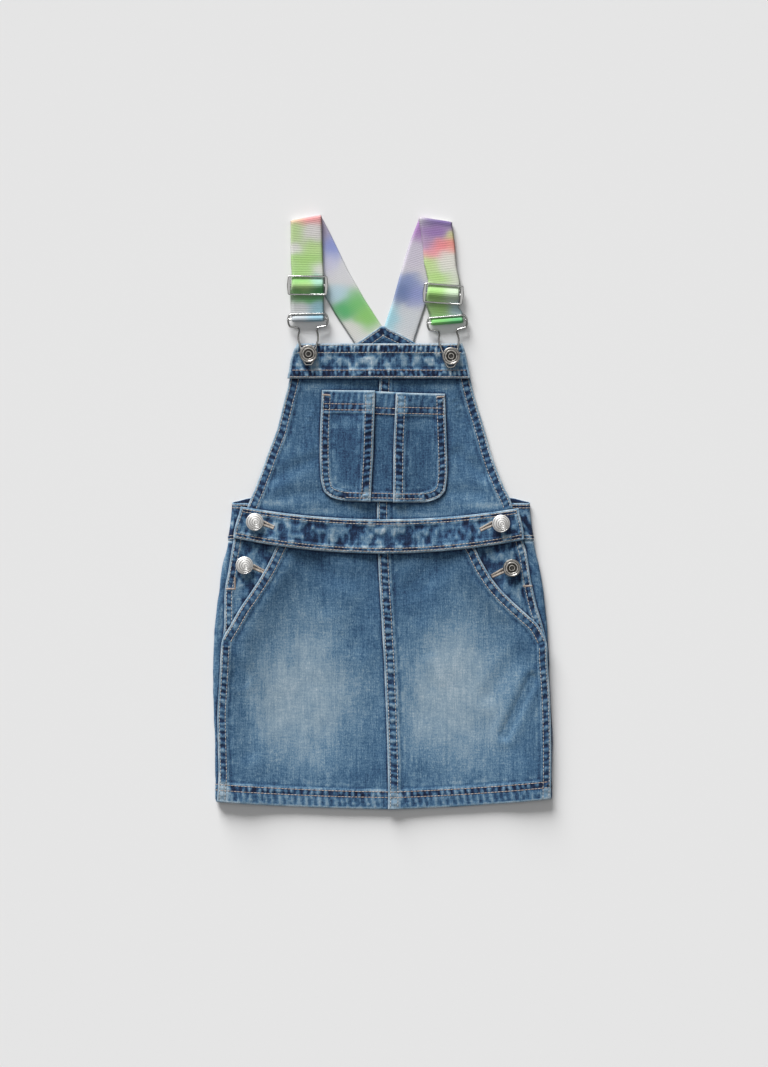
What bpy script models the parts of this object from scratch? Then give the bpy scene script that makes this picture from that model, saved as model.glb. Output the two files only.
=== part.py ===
"""A child's denim dungaree dress with webbing straps, laid flat on its back.

Units are metres in Blender, and millimetres in the tables here. +Z is up from the surface that the
dress lies on, +Y runs from the hem to the straps, and +X is to the right as seen from above. The
origin is on that surface, under the middle of the dress. "Left" and "right" are as seen from above.

The pieces are built from the surface upwards. The back pieces curl round both sides, and each piece
after them is laid on what is already there.
"""

import math
from collections import namedtuple

import bpy
import bmesh
from mathutils import Matrix, Vector
from mathutils.bvhtree import BVHTree

MM = 0.001

# Cloth and webbing
CLOTH = 1.2
GAP = 0.3
TURNED_EXTRA = 0.7
TURN_STEP = 0.8
WEBBING = 1.3
WEB_HALF = 14.6
FOLD_HEIGHT = 6.0

# Hardware
WIRE_RADIUS = 1.0
SLIDER_PLATE = 1.6
SLIDER_WIDTH = 35.5
SLIDER_LENGTH = 18.0
SLIDER_SIDE = 2.4
SLIDER_RAIL = 1.6
SLIDER_BAR = 2.2
SLIDER_EAR = 0.8

# Meshing
TOP_OF_ALL = 100.0
PROBE_TURNS = 8
PROBE_REACH = 2.0
PROBE_SPACING = 3.0
SMOOTHING_PASSES = 5
LIFTING_PASSES = 12
BUTTON_SEGMENTS = 16
WIRE_SIDES = 6

# A row across a panel: its height on the dress, the x of its two ends, how far each end lies above
# that height, and how far its middle sags below the line between the ends.
Row = namedtuple("Row", "height left right left_lift right_lift bow")

# A row of a piece that curls round both sides: the x of the two folds, how far the piece goes on past
# each fold over the front, the sag of the middle, and how much higher its back lies than its front.
WrapRow = namedtuple("WrapRow", "height left right left_over right_over bow right_lift back_lift")

BACK_SKIRT = [
    WrapRow(-261.0, -150.5, 152.0, 11.0, 10.0, 7.0, 2.5, 0.0),
    WrapRow(-241.0, -151.0, 152.0, 12.0, 10.0, 7.0, 1.0, 0.0),
    WrapRow(-205.0, -151.5, 153.0, 12.0, 11.0, 6.0, 0.0, 0.0),
    WrapRow(-169.0, -153.0, 151.0, 13.0, 11.0, 5.0, 0.0, 0.0),
    WrapRow(-133.0, -153.0, 149.5, 15.0, 12.0, 4.0, 0.0, 0.0),
    WrapRow(-110.0, -152.0, 148.5, 18.0, 15.0, 4.0, 0.0, 0.0),
    WrapRow(-88.0, -150.0, 146.5, 26.0, 26.0, 4.0, 0.0, 0.0),
    WrapRow(-70.0, -147.5, 144.5, 34.0, 36.0, 5.0, 0.0, 0.0),
    WrapRow(-50.0, -145.0, 141.0, 34.0, 36.0, 5.0, 0.0, 0.0),
    WrapRow(-26.5, -139.5, 136.0, 31.0, 31.0, 6.0, 0.0, 0.0),
]

BACK_WAISTBAND = [
    WrapRow(-26.0, -139.5, 136.0, 31.0, 31.0, 6.0, 0.0, 0.0),
    WrapRow(-9.0, -137.5, 133.5, 31.0, 31.0, 5.5, 0.0, 1.5),
    WrapRow(8.0, -136.0, 132.5, 31.0, 31.0, 5.0, 0.0, 6.0),
]

BACK_BIB = [
    Row(12.8, -109.0, 111.0, 0.0, 0.0, 3.4),
    Row(29.0, -96.0, 98.0, 0.0, 0.0, 2.0),
    Row(47.0, -86.5, 89.0, 0.0, 0.0, 0.0),
    Row(65.0, -78.5, 82.0, 0.0, 0.0, 0.0),
    Row(83.0, -71.0, 76.5, 0.0, 0.0, 0.0),
    Row(101.0, -64.0, 69.5, 0.0, 0.0, 0.0),
    Row(119.0, -55.0, 60.5, 0.0, 0.0, 0.0),
    Row(137.0, -42.5, 47.5, 0.0, 0.0, 0.0),
    Row(146.0, -32.5, 38.0, 0.0, 0.0, 0.0),
    Row(152.5, -22.5, 28.5, 0.0, 0.0, 0.0),
    Row(160.0, -12.5, 16.0, 0.0, 0.0, 0.0),
    Row(167.5, -2.6, 2.0, 0.0, 0.0, 0.0),
]

FRONT_SKIRT_LEFT = [
    Row(-261.0, -149.5, 12.5, 0.0, -7.0, 1.5),
    Row(-238.5, -148.0, 12.5, 0.0, -7.0, 1.5),
    Row(-213.5, -148.5, 12.0, 0.0, -5.0, 1.0),
    Row(-181.0, -149.0, 11.0, 0.0, -3.0, 0.0),
    Row(-147.5, -147.0, 10.0, 0.0, -3.0, 0.0),
    Row(-128.5, -146.0, 9.0, 0.0, -3.0, 0.0),
    Row(-115.0, -144.5, 8.0, 0.0, -3.0, 0.0),
    Row(-101.5, -137.0, 7.5, 0.0, -4.5, 0.0),
    Row(-86.5, -128.5, 6.5, 0.0, -7.0, 0.0),
    Row(-71.0, -118.0, 6.0, 0.0, -9.0, 0.5),
    Row(-55.0, -108.0, 5.0, 0.0, -11.0, 1.0),
    Row(-42.0, -101.0, 4.5, 0.0, -12.0, 1.5),
    Row(-32.0, -96.5, 4.0, 0.0, -12.0, 1.5),
    Row(-23.5, -92.0, 3.5, 0.0, -10.0, 1.5),
]

FRONT_SKIRT_RIGHT = [
    Row(-258.5, 4.5, 151.0, -9.5, 0.0, 1.5),
    Row(-238.5, 4.5, 151.5, -7.5, 0.0, 1.5),
    Row(-213.5, 4.0, 151.5, -6.0, 0.0, 1.0),
    Row(-183.5, 3.0, 151.0, -3.5, 0.0, 0.0),
    Row(-161.0, 2.0, 150.0, -3.0, 0.0, 0.0),
    Row(-133.0, 1.0, 148.0, -3.0, 0.0, 0.0),
    Row(-116.5, 0.0, 147.0, -3.5, 0.0, 0.0),
    Row(-101.0, -0.8, 139.0, -5.0, 0.0, 0.0),
    Row(-91.0, -1.3, 128.0, -6.5, 0.0, 0.0),
    Row(-81.0, -1.8, 117.0, -8.0, 0.0, 0.5),
    Row(-70.0, -2.5, 106.0, -9.5, 0.0, 0.5),
    Row(-59.5, -3.0, 97.5, -10.5, 0.0, 1.0),
    Row(-45.0, -3.8, 89.0, -12.0, 0.0, 1.5),
    Row(-33.5, -4.3, 83.5, -12.0, 0.0, 1.5),
    Row(-25.0, -4.8, 79.0, -9.0, 0.0, 1.5),
]

HIP_LEFT = [
    Row(-119.0, -145.0, -134.0, 0.0, -3.0, 0.0),
    Row(-103.5, -143.0, -128.5, 0.0, -4.5, 0.0),
    Row(-87.0, -142.8, -119.5, 0.0, -5.0, 0.0),
    Row(-71.0, -142.5, -110.0, 0.0, -6.0, 0.0),
    Row(-55.0, -139.5, -100.0, 0.0, -7.0, 0.0),
    Row(-36.0, -136.5, -90.0, 0.0, -8.0, 0.0),
    Row(-18.0, -133.5, -81.0, 0.0, -8.0, 0.0),
]

HIP_RIGHT = [
    Row(-119.0, 137.0, 147.5, -4.0, 0.0, 0.0),
    Row(-101.0, 129.5, 143.5, -5.0, 0.0, 0.0),
    Row(-85.0, 116.0, 138.5, -6.0, 0.0, 0.0),
    Row(-70.0, 101.0, 135.0, -7.0, 0.0, 0.0),
    Row(-55.0, 87.5, 132.0, -7.0, 0.0, 0.0),
    Row(-38.5, 78.0, 129.5, -8.0, 0.0, 0.0),
    Row(-20.0, 68.0, 125.0, -8.0, 0.0, 0.0),
]

FRONT_WAISTBAND = [
    Row(-23.5, -134.5, 127.0, 0.0, -1.5, 13.3),
    Row(-14.5, -133.3, 126.0, 0.0, -1.0, 12.5),
    Row(5.0, -128.0, 122.0, 0.0, -1.5, 10.8),
]

BIB_LEFT = [
    Row(2.5, -122.5, 3.5, 0.0, -14.0, 4.0),
    Row(11.0, -119.5, 3.5, 0.0, -11.0, 3.0),
    Row(20.0, -115.5, 3.5, 0.0, -8.0, 2.0),
    Row(38.0, -109.0, 4.0, 0.0, -4.0, 0.0),
    Row(56.0, -102.5, 4.5, 0.0, 0.0, 0.0),
    Row(74.0, -95.5, 5.0, 0.0, 0.0, 0.0),
    Row(101.0, -89.0, 5.5, 0.0, 0.0, 0.0),
    Row(119.0, -84.5, 6.0, 0.0, 0.0, 0.0),
    Row(137.0, -82.0, 6.0, 0.0, 0.0, 0.0),
    Row(148.0, -78.5, 6.0, 0.0, 0.0, 0.0),
]

BIB_RIGHT = [
    Row(2.5, -5.5, 117.0, -14.0, 0.0, 4.0),
    Row(11.0, -5.5, 114.5, -11.0, 0.0, 3.0),
    Row(22.0, -5.5, 109.0, -8.0, 0.0, 2.0),
    Row(38.0, -5.0, 102.5, -4.0, 0.0, 0.0),
    Row(56.0, -4.5, 96.5, 0.0, 0.0, 0.0),
    Row(74.0, -4.3, 91.5, 0.0, 0.0, 0.0),
    Row(101.0, -3.8, 83.5, 0.0, 0.0, 0.0),
    Row(119.0, -3.4, 79.0, 0.0, 0.0, 0.0),
    Row(137.0, -3.0, 75.0, 0.0, 0.0, 0.0),
    Row(148.0, -3.0, 72.0, 0.0, 0.0, 0.0),
]

BIB_BAND = [
    Row(120.2, -86.2, 78.8, 0.0, 0.0, 0.0),
    Row(128.5, -84.5, 77.2, 0.0, 0.0, 0.0),
    Row(137.0, -83.2, 75.6, 0.0, 0.0, 0.0),
    Row(146.0, -80.3, 73.6, 0.0, 0.0, 0.0),
    Row(151.6, -77.4, 71.6, 0.0, 0.0, 0.0),
]

POCKET_CENTRE = [
    Row(9.5, -19.5, 17.0, 0.0, -0.7, 0.0),
    Row(56.5, -17.5, 18.5, 0.0, -0.8, 0.0),
    Row(109.0, -15.0, 20.0, 0.0, -1.5, 0.0),
]

POCKET_LEFT = [
    Row(9.8, -34.0, -11.0, 0.0, -0.8, 0.0),
    Row(11.0, -41.0, -10.9, 0.0, -0.6, 0.0),
    Row(13.2, -47.0, -10.8, 0.0, -0.4, 0.0),
    Row(18.0, -53.0, -10.5, 0.0, -0.2, 0.0),
    Row(29.5, -56.0, -9.9, 0.0, 0.0, 0.0),
    Row(51.5, -57.0, -8.7, 0.0, 0.0, 0.0),
    Row(79.0, -56.5, -7.8, 0.0, 0.0, 0.0),
    Row(110.0, -55.0, -7.0, 0.0, -0.8, 0.0),
]

POCKET_RIGHT = [
    Row(8.4, 9.0, 38.0, 0.0, 0.2, 0.0),
    Row(9.8, 9.0, 44.5, 0.0, 0.2, 0.0),
    Row(13.0, 9.0, 51.0, 0.0, 0.0, 0.0),
    Row(19.0, 9.1, 56.0, 0.0, 0.0, 0.0),
    Row(35.0, 9.3, 58.0, 0.0, 0.0, 0.0),
    Row(62.0, 9.6, 57.5, 0.0, 0.0, 0.0),
    Row(90.0, 10.8, 56.5, 0.0, 0.0, 0.0),
    Row(107.3, 11.5, 56.0, 0.0, -0.8, 0.0),
]

# The largest folds of the front: a soft ridge between two points, its width and its height.
Fold = namedtuple("Fold", "start_x start_y end_x end_y width height")

FOLDS = [
    Fold(134.0, -146.0, 108.0, -206.0, 9.0, 1.8),
    Fold(-132.0, -128.0, -112.0, -192.0, 11.0, 1.2),
    Fold(-92.0, -60.0, -40.0, -88.0, 13.0, 1.1),
    Fold(84.0, -66.0, 40.0, -100.0, 13.0, 1.2),
    Fold(-70.0, -238.0, 70.0, -244.0, 12.0, 0.8),
    Fold(-104.0, 24.0, -62.0, 62.0, 11.0, 1.2),
    Fold(96.0, 26.0, 66.0, 70.0, 11.0, 1.2),
    Fold(-40.0, -130.0, -34.0, -212.0, 22.0, 0.9),
    Fold(60.0, -132.0, 66.0, -210.0, 22.0, 0.9),
]

# A strap's back leg and front leg by the two ends of each station across the webbing, and the height
# of its middle. The front leg's last stations are worked out from its slider and its hook.
Station = namedtuple("Station", "left_x left_y right_x right_y z")

StrapPlan = namedtuple("StrapPlan", "back fold front slider hook")
Place = namedtuple("Place", "x y turn")

STRAP_BACK_Z = WEBBING / 2
STRAP_FOLD_RADIUS = 2.0

STRAPS = {
    "left": StrapPlan(
        back=[
            Station(-21.5, 144.0, -0.5, 157.5, STRAP_BACK_Z),
            Station(-26.3, 152.7, -0.4, 166.8, STRAP_BACK_Z),
            Station(-43.0, 178.0, -16.8, 192.4, STRAP_BACK_Z),
            Station(-59.8, 203.4, -33.3, 217.4, STRAP_BACK_Z),
            Station(-74.2, 238.0, -47.9, 252.2, STRAP_BACK_Z),
        ],
        fold=Station(-83.2, 260.6, -55.2, 265.8, STRAP_BACK_Z),
        front=[
            Station(-83.2, 250.0, -54.9, 252.0, 4.2),
            Station(-83.2, 238.0, -54.4, 239.0, 3.6),
            Station(-83.1, 224.0, -53.9, 224.4, 3.7),
        ],
        slider=Place(-67.9, 203.9, -0.8),
        hook=Place(-67.7, 178.4, 1.0),
    ),
    "right": StrapPlan(
        back=[
            Station(0.5, 157.5, 26.6, 147.5, STRAP_BACK_Z),
            Station(1.0, 166.8, 29.6, 158.4, STRAP_BACK_Z),
            Station(9.0, 191.0, 37.6, 182.4, STRAP_BACK_Z),
            Station(16.4, 218.0, 45.2, 210.0, STRAP_BACK_Z),
            Station(24.0, 243.0, 52.8, 235.4, STRAP_BACK_Z),
        ],
        fold=Station(32.2, 263.8, 62.2, 259.2, STRAP_BACK_Z),
        front=[
            Station(34.2, 252.0, 63.8, 249.4, 4.2),
            Station(35.6, 240.0, 65.2, 238.0, 3.6),
            Station(36.8, 224.0, 66.4, 221.6, 3.7),
        ],
        slider=Place(54.2, 196.2, -4.6),
        hook=Place(57.4, 176.0, 4.8),
    ),
}

SLIDER_Z = 5.9
WEB_UNDER_RAIL = 4.0
WEB_OVER_BAR = 7.75
RETURN_Z = 2.3
HOOK_BAR_Z = 4.2
HOOK_BAR_DROP = 4.7
HOOK_BAR_HALF = 18.8
HOOK_ON_BAND = 24.0
ROLL_RADIUS = 2.0

# The hook's outline: distance down from its top wire, and half its width there.
HookRow = namedtuple("HookRow", "along half")

HOOK_OUTLINE = [
    HookRow(0.0, 0.0),
    HookRow(0.0, 9.0),
    HookRow(0.1, 15.6),
    HookRow(1.6, 17.6),
    HookRow(5.2, 17.9),
    HookRow(9.2, 17.8),
    HookRow(11.2, 16.2),
    HookRow(11.8, 12.6),
    HookRow(12.4, 9.2),
    HookRow(14.2, 7.5),
    HookRow(17.0, 8.3),
    HookRow(20.6, 9.5),
    HookRow(25.0, 8.5),
    HookRow(31.0, 6.4),
    HookRow(38.0, 5.7),
    HookRow(42.6, 5.0),
    HookRow(45.6, 2.6),
    HookRow(46.2, 0.0),
]

# Tack buttons: a turned outline of radius and height from the cloth up.
Turning = namedtuple("Turning", "radius height")
ButtonPlan = namedtuple("ButtonPlan", "name x y outline material")

DOMED_BUTTON = [
    Turning(3.4, 0.0),
    Turning(3.4, 2.3),
    Turning(7.0, 2.3),
    Turning(7.9, 3.0),
    Turning(7.9, 3.7),
    Turning(7.2, 4.3),
    Turning(5.0, 4.8),
    Turning(2.4, 5.0),
]

HOLLOW_BUTTON = [
    Turning(3.4, 0.0),
    Turning(3.4, 2.8),
    Turning(7.2, 2.8),
    Turning(8.1, 3.4),
    Turning(8.1, 4.1),
    Turning(7.2, 4.9),
    Turning(3.0, 5.0),
    Turning(1.7, 4.9),
    Turning(1.5, 4.1),
]

BUTTONS = [
    ButtonPlan("button_waist_left", -115.0, -9.0, DOMED_BUTTON, "bright_button"),
    ButtonPlan("button_hip_left", -124.4, -48.0, DOMED_BUTTON, "bright_button"),
    ButtonPlan("button_waist_right", 106.0, -10.5, DOMED_BUTTON, "bright_button"),
    ButtonPlan("button_hip_right", 115.8, -50.4, HOLLOW_BUTTON, "dark_button"),
    ButtonPlan("button_bib_left", -67.0, 142.0, HOLLOW_BUTTON, "dark_button"),
    ButtonPlan("button_bib_right", 61.2, 140.0, HOLLOW_BUTTON, "dark_button"),
]

# Finishes: colour, roughness and metallic value
Finish = namedtuple("Finish", "color roughness metallic")

FINISHES = {
    "denim": Finish((0.075, 0.165, 0.30), 0.9, 0.0),
    "denim_dark": Finish((0.045, 0.105, 0.21), 0.9, 0.0),
    "webbing": Finish((0.60, 0.62, 0.58), 0.8, 0.0),
    "hardware": Finish((0.62, 0.62, 0.62), 0.28, 1.0),
    "bright_button": Finish((0.78, 0.78, 0.77), 0.3, 1.0),
    "dark_button": Finish((0.34, 0.32, 0.29), 0.4, 1.0),
}


def clear_scene():
    """Remove whatever the file opened with."""
    for thing in list(bpy.data.objects):
        bpy.data.objects.remove(thing, do_unlink=True)


def make_material(name):
    """Make the Principled material for one of the finishes."""
    finish = FINISHES[name]
    material = bpy.data.materials.new(name)
    material.use_nodes = True
    shader = material.node_tree.nodes["Principled BSDF"]
    shader.inputs["Base Color"].default_value = (*finish.color, 1.0)
    shader.inputs["Roughness"].default_value = finish.roughness
    shader.inputs["Metallic"].default_value = finish.metallic
    return material


def smoothstep(low, high, value):
    """Rise softly from 0 at low to 1 at high."""
    share = min(max((value - low) / (high - low), 0.0), 1.0)
    return share * share * (3.0 - 2.0 * share)


def cubic(before, start, end, after, share):
    """Pass a smooth curve through start and end, with before and after giving its direction."""
    return start + 0.5 * share * (
        end
        - before
        + share
        * (2 * before - 5 * start + 4 * end - after + share * (3 * (start - end) + after - before))
    )


def row_at(rows, height):
    """Give a table's row at any height, on smooth curves through its rows."""
    last = len(rows) - 2
    index = max(i for i in range(len(rows) - 1) if i == 0 or rows[i].height <= height)
    index = min(index, last)
    start, end = rows[index], rows[index + 1]
    before = rows[index - 1] if index else start
    after = rows[index + 2] if index < last else end
    share = (height - start.height) / (end.height - start.height)
    values = [cubic(*column, share) for column in zip(before, start, end, after)]
    return type(start)(height, *values[1:])


def levels_between(low, high, spacing, extra=()):
    """Give heights from low to high about a spacing apart, with the extra ones kept exactly."""
    kept = sorted({low, high, *extra})
    levels = []
    for start, end in zip(kept, kept[1:]):
        steps = max(1, round((end - start) / spacing))
        levels += [start + (end - start) * i / steps for i in range(steps)]
    return levels + [high]


def fold_rise(x, y):
    """Give the height of the largest folds at a point."""
    rise = 0.0
    for fold in FOLDS:
        run = Vector((fold.end_x - fold.start_x, fold.end_y - fold.start_y))
        away = Vector((x - fold.start_x, y - fold.start_y))
        share = min(max(away.dot(run) / run.length_squared, 0.0), 1.0)
        distance = (away - run * share).length
        rise += fold.height * math.exp(-((distance / fold.width) ** 2))
    return rise


def side_rise(x, y):
    """Give how far the front is held up near the folds of the sides."""
    table = BACK_SKIRT if y < BACK_SKIRT[-1].height else BACK_WAISTBAND
    level = min(max(y, table[0].height), table[-1].height)
    row = row_at(table, level)
    inwards_left = x - row.left - row.left_over
    inwards_right = row.right - row.right_over - x
    held = 1.0 - smoothstep(0.0, 34.0, min(inwards_left, inwards_right))
    above_waist = 1.0 - smoothstep(0.0, 40.0, y - BACK_WAISTBAND[-1].height)
    return (FOLD_HEIGHT - CLOTH) * held * above_waist


def front_level(x, y):
    """Give the lowest height of the front pieces' undersides."""
    return CLOTH + GAP + side_rise(x, y) + fold_rise(x, y)


class Stack:
    """The pieces laid so far, and how high they reach."""

    def __init__(self):
        self.vertices = []
        self.faces = []
        self.tree = None

    def add(self, vertices, faces):
        """Add a piece's points, in millimetres, and its faces."""
        first = len(self.vertices)
        self.vertices += vertices
        self.faces += [[first + i for i in face] for face in faces]
        self.tree = BVHTree.FromPolygons(self.vertices, self.faces)

    def top(self, x, y):
        """Give the height of the highest piece at a point, or 0 for the bare surface."""
        hit = self.tree.ray_cast(Vector((x, y, TOP_OF_ALL)), Vector((0, 0, -1)))[0]
        return hit.z if hit else 0.0

    def top_near(self, x, y, reach=PROBE_REACH):
        """Give the greatest height of the pieces at a point and round it."""
        highest = self.top(x, y)
        for turn in range(PROBE_TURNS):
            angle = math.tau * turn / PROBE_TURNS
            around = (x + reach * math.cos(angle), y + reach * math.sin(angle))
            highest = max(highest, self.top(*around))
        return highest

    def rest_near(self, x, y, reach=PROBE_REACH):
        """Give the height at which cloth rests at a point: just above the pieces, or on the surface."""
        highest = self.top_near(x, y, reach)
        return highest + GAP if highest > 0.0 else 0.0


def slab(upper, lower):
    """Join two grids of points, row by row, into one closed wall."""
    rows, columns = len(upper), len(upper[0])
    vertices = [Vector(p) for grid in (upper, lower) for row in grid for p in row]
    under = rows * columns

    def at(row, column, base=0):
        return base + row * columns + column

    faces = []
    for row in range(rows - 1):
        for column in range(columns - 1):
            corners = [(row, column), (row, column + 1), (row + 1, column + 1), (row + 1, column)]
            faces.append([at(*corner) for corner in corners])
            faces.append([at(*corner, under) for corner in reversed(corners)])
    rim = [(0, column) for column in range(columns)]
    rim += [(row, columns - 1) for row in range(1, rows)]
    rim += [(rows - 1, column) for column in range(columns - 2, -1, -1)]
    rim += [(row, 0) for row in range(rows - 2, 0, -1)]
    for here, there in zip(rim, rim[1:] + rim[:1]):
        faces.append([at(*there), at(*here), at(*here, under), at(*there, under)])
    return vertices, faces


def make_object(name, vertices, faces, material, smooth_angle=None):
    """Make one object from points in millimetres."""
    mesh = bpy.data.meshes.new(name)
    mesh.from_pydata([tuple(v * MM for v in p) for p in vertices], [], faces)
    build = bmesh.new()
    build.from_mesh(mesh)
    bmesh.ops.recalc_face_normals(build, faces=build.faces)
    build.to_mesh(mesh)
    build.free()
    mesh.materials.append(make_material(material) if isinstance(material, str) else material)
    if smooth_angle:
        mesh.shade_smooth()
        mesh.set_sharp_from_angle(angle=math.radians(smooth_angle))
    thing = bpy.data.objects.new(name, mesh)
    bpy.context.scene.collection.objects.link(thing)
    return thing


PanelPlan = namedtuple(
    "PanelPlan", "name rows spacing columns thickness left_turn right_turn bottom_turn top_turn on_floor"
)


def column_offsets(plan, width):
    """Give the distances of a row's columns from its left end, with two at each turned edge."""
    offsets = [0.0]
    if plan.left_turn:
        offsets += [plan.left_turn, plan.left_turn + TURN_STEP]
    ending = []
    if plan.right_turn:
        ending = [width - plan.right_turn - TURN_STEP, width - plan.right_turn]
    low = offsets[-1]
    high = ending[0] if ending else width
    between = [low + (high - low) * i / plan.columns for i in range(1, plan.columns)]
    return offsets + between + ending + [width]


def panel_plan_points(plan):
    """Give a panel's rows of points seen from above, and how much each is thickened."""
    low, high = plan.rows[0].height, plan.rows[-1].height
    extra = []
    if plan.bottom_turn:
        extra += [low + plan.bottom_turn, low + plan.bottom_turn + TURN_STEP]
    if plan.top_turn:
        extra += [high - plan.top_turn - TURN_STEP, high - plan.top_turn]
    points, thicker = [], []
    for level in levels_between(low, high, plan.spacing, extra):
        row = row_at(plan.rows, level)
        width = row.right - row.left
        narrow = min(1.0, width / (2.0 * (plan.left_turn + plan.right_turn + 2 * TURN_STEP) + 0.01))
        scaled = plan._replace(left_turn=plan.left_turn * narrow, right_turn=plan.right_turn * narrow)
        line, extra_line = [], []
        for offset in column_offsets(scaled, width):
            share = offset / width
            y = level + row.left_lift * (1 - share) + row.right_lift * share
            y -= row.bow * 4 * share * (1 - share)
            line.append((row.left + offset, y))
            turned = (
                (plan.left_turn and offset <= scaled.left_turn)
                or (plan.right_turn and offset >= width - scaled.right_turn - 1e-6)
                or (plan.bottom_turn and level <= low + plan.bottom_turn)
                or (plan.top_turn and level >= high - plan.top_turn - 1e-6)
            )
            extra_line.append(TURNED_EXTRA if turned else 0.0)
        points.append(line)
        thicker.append(extra_line)
    return points, thicker


def cell_probes(stack, plan):
    """Give places all over a cell, as shares of its four corners, and the height cloth rests at."""
    across = max(math.dist(plan[0], plan[3]), math.dist(plan[1], plan[2]))
    steps = max(1, math.ceil(across / PROBE_SPACING))
    probes = []
    for i in range(steps + 1):
        for j in range(steps + 1):
            u, v = j / steps, i / steps
            shares = ((1 - u) * (1 - v), u * (1 - v), (1 - u) * v, u * v)
            x = sum(share * point[0] for share, point in zip(shares, plan))
            y = sum(share * point[1] for share, point in zip(shares, plan))
            probes.append((shares, stack.rest_near(x, y)))
    return probes


def clear_cells(stack, points, heights):
    """Lift the corners of a grid's cells until every cell clears the pieces below it."""
    cells = []
    for row in range(len(points) - 1):
        for column in range(len(points[0]) - 1):
            corners = [(row, column), (row, column + 1), (row + 1, column), (row + 1, column + 1)]
            cells.append((corners, cell_probes(stack, [points[r][c] for r, c in corners])))
    for _ in range(LIFTING_PASSES):
        for corners, probes in cells:
            short = max(
                rest - sum(share * heights[r][c] for share, (r, c) in zip(shares, corners))
                for shares, rest in probes
            )
            if short > 0.0:
                enough = max(rest for _, rest in probes)
                for r, c in corners:
                    heights[r][c] = max(heights[r][c], min(heights[r][c] + short, enough))
    return heights


def settle(heights, needed):
    """Smooth a grid of heights without letting it drop below what it lies on."""
    rows, columns = len(heights), len(heights[0])
    for _ in range(SMOOTHING_PASSES):
        smoother = [list(row) for row in heights]
        for row in range(rows):
            for column in range(columns):
                near = [
                    heights[r][c]
                    for r in range(max(row - 1, 0), min(row + 2, rows))
                    for c in range(max(column - 1, 0), min(column + 2, columns))
                ]
                smoother[row][column] = max(sum(near) / len(near), needed[row][column])
        heights = smoother
    return heights


def lay_panel(stack, plan, material):
    """Lay a panel on the pieces so far, and add it to them."""
    points, thicker = panel_plan_points(plan)
    needed = []
    for row in points:
        lowest = [0.0 if plan.on_floor else front_level(x, y) for x, y in row]
        needed.append([max(stack.rest_near(*point), low) for point, low in zip(row, lowest)])
    needed = clear_cells(stack, points, needed)
    lows = settle(needed, needed)
    upper = [
        [(x, y, low + plan.thickness + extra) for (x, y), low, extra in zip(*lines)]
        for lines in zip(points, lows, thicker)
    ]
    lower = [[(x, y, low) for (x, y), low in zip(*lines)] for lines in zip(points, lows)]
    vertices, faces = slab(upper, lower)
    stack.add(vertices, faces)
    return make_object(plan.name, vertices, faces, material)


def wrap_profile(row, arc_steps=6, flat_steps=16, over_steps=4):
    """Give a section through a piece that curls round both sides: outer and inner points."""
    radius = FOLD_HEIGHT / 2
    profile = []
    for side, edge, over in ((-1, row.left, row.left_over), (1, row.right, row.right_over)):
        half = []
        for i in range(over_steps):
            share = i / over_steps
            x = edge - side * (over + (radius - over) * share)
            half.append((x, FOLD_HEIGHT, 0.0, 1.0))
        for i in range(arc_steps + 1):
            angle = math.pi * i / arc_steps
            nx, nz = side * math.sin(angle), math.cos(angle)
            centre = edge - side * radius
            half.append((centre + nx * radius, radius + nz * radius, nx, nz))
        profile.append(half)
    left, right = profile
    low_left, low_right = left[-1][0], right[-1][0]
    flat = [
        (low_left + (low_right - low_left) * i / flat_steps, 0.0, 0.0, -1.0)
        for i in range(1, flat_steps)
    ]
    return left + flat + right[::-1]


def wrap_piece(stack, name, rows, levels, material):
    """Make a piece that lies on the surface and curls round both sides onto the front."""
    outer, inner = [], []
    for level in levels:
        row = row_at(rows, level)
        middle, half = (row.left + row.right) / 2, (row.right - row.left) / 2
        outer_line, inner_line = [], []
        for x, z, nx, nz in wrap_profile(row):
            across = (x - middle) / half
            lowness = 1.0 - z / FOLD_HEIGHT
            y = level + row.right_lift * (across + 1) / 2 + row.back_lift * lowness
            y -= row.bow * (1.0 - across * across) * lowness
            outer_line.append((x, y, z))
            inner_line.append((x - nx * CLOTH, y, z - nz * CLOTH))
        outer.append(outer_line)
        inner.append(inner_line)
    vertices, faces = slab(outer, inner)
    stack.add(vertices, faces)
    return make_object(name, vertices, faces, material, smooth_angle=40)


def station_points(station):
    """Give the two ends of a strap's station as points."""
    left = Vector((station.left_x, station.left_y, station.z))
    right = Vector((station.right_x, station.right_y, station.z))
    return left, right


def placed(place, along, across, z):
    """Give a point by its distances down from a placed piece's middle and across it."""
    turn = math.radians(place.turn)
    rightwards = Vector((math.cos(turn), math.sin(turn), 0.0))
    downwards = Vector((math.sin(turn), -math.cos(turn), 0.0))
    return Vector((place.x, place.y, z)) + downwards * along + rightwards * across


def web_line(place, along, z, shift=0.0):
    """Give the two edges of the webbing on a line across a placed piece."""
    return placed(place, along, shift - WEB_HALF, z), placed(place, along, shift + WEB_HALF, z)


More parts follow.
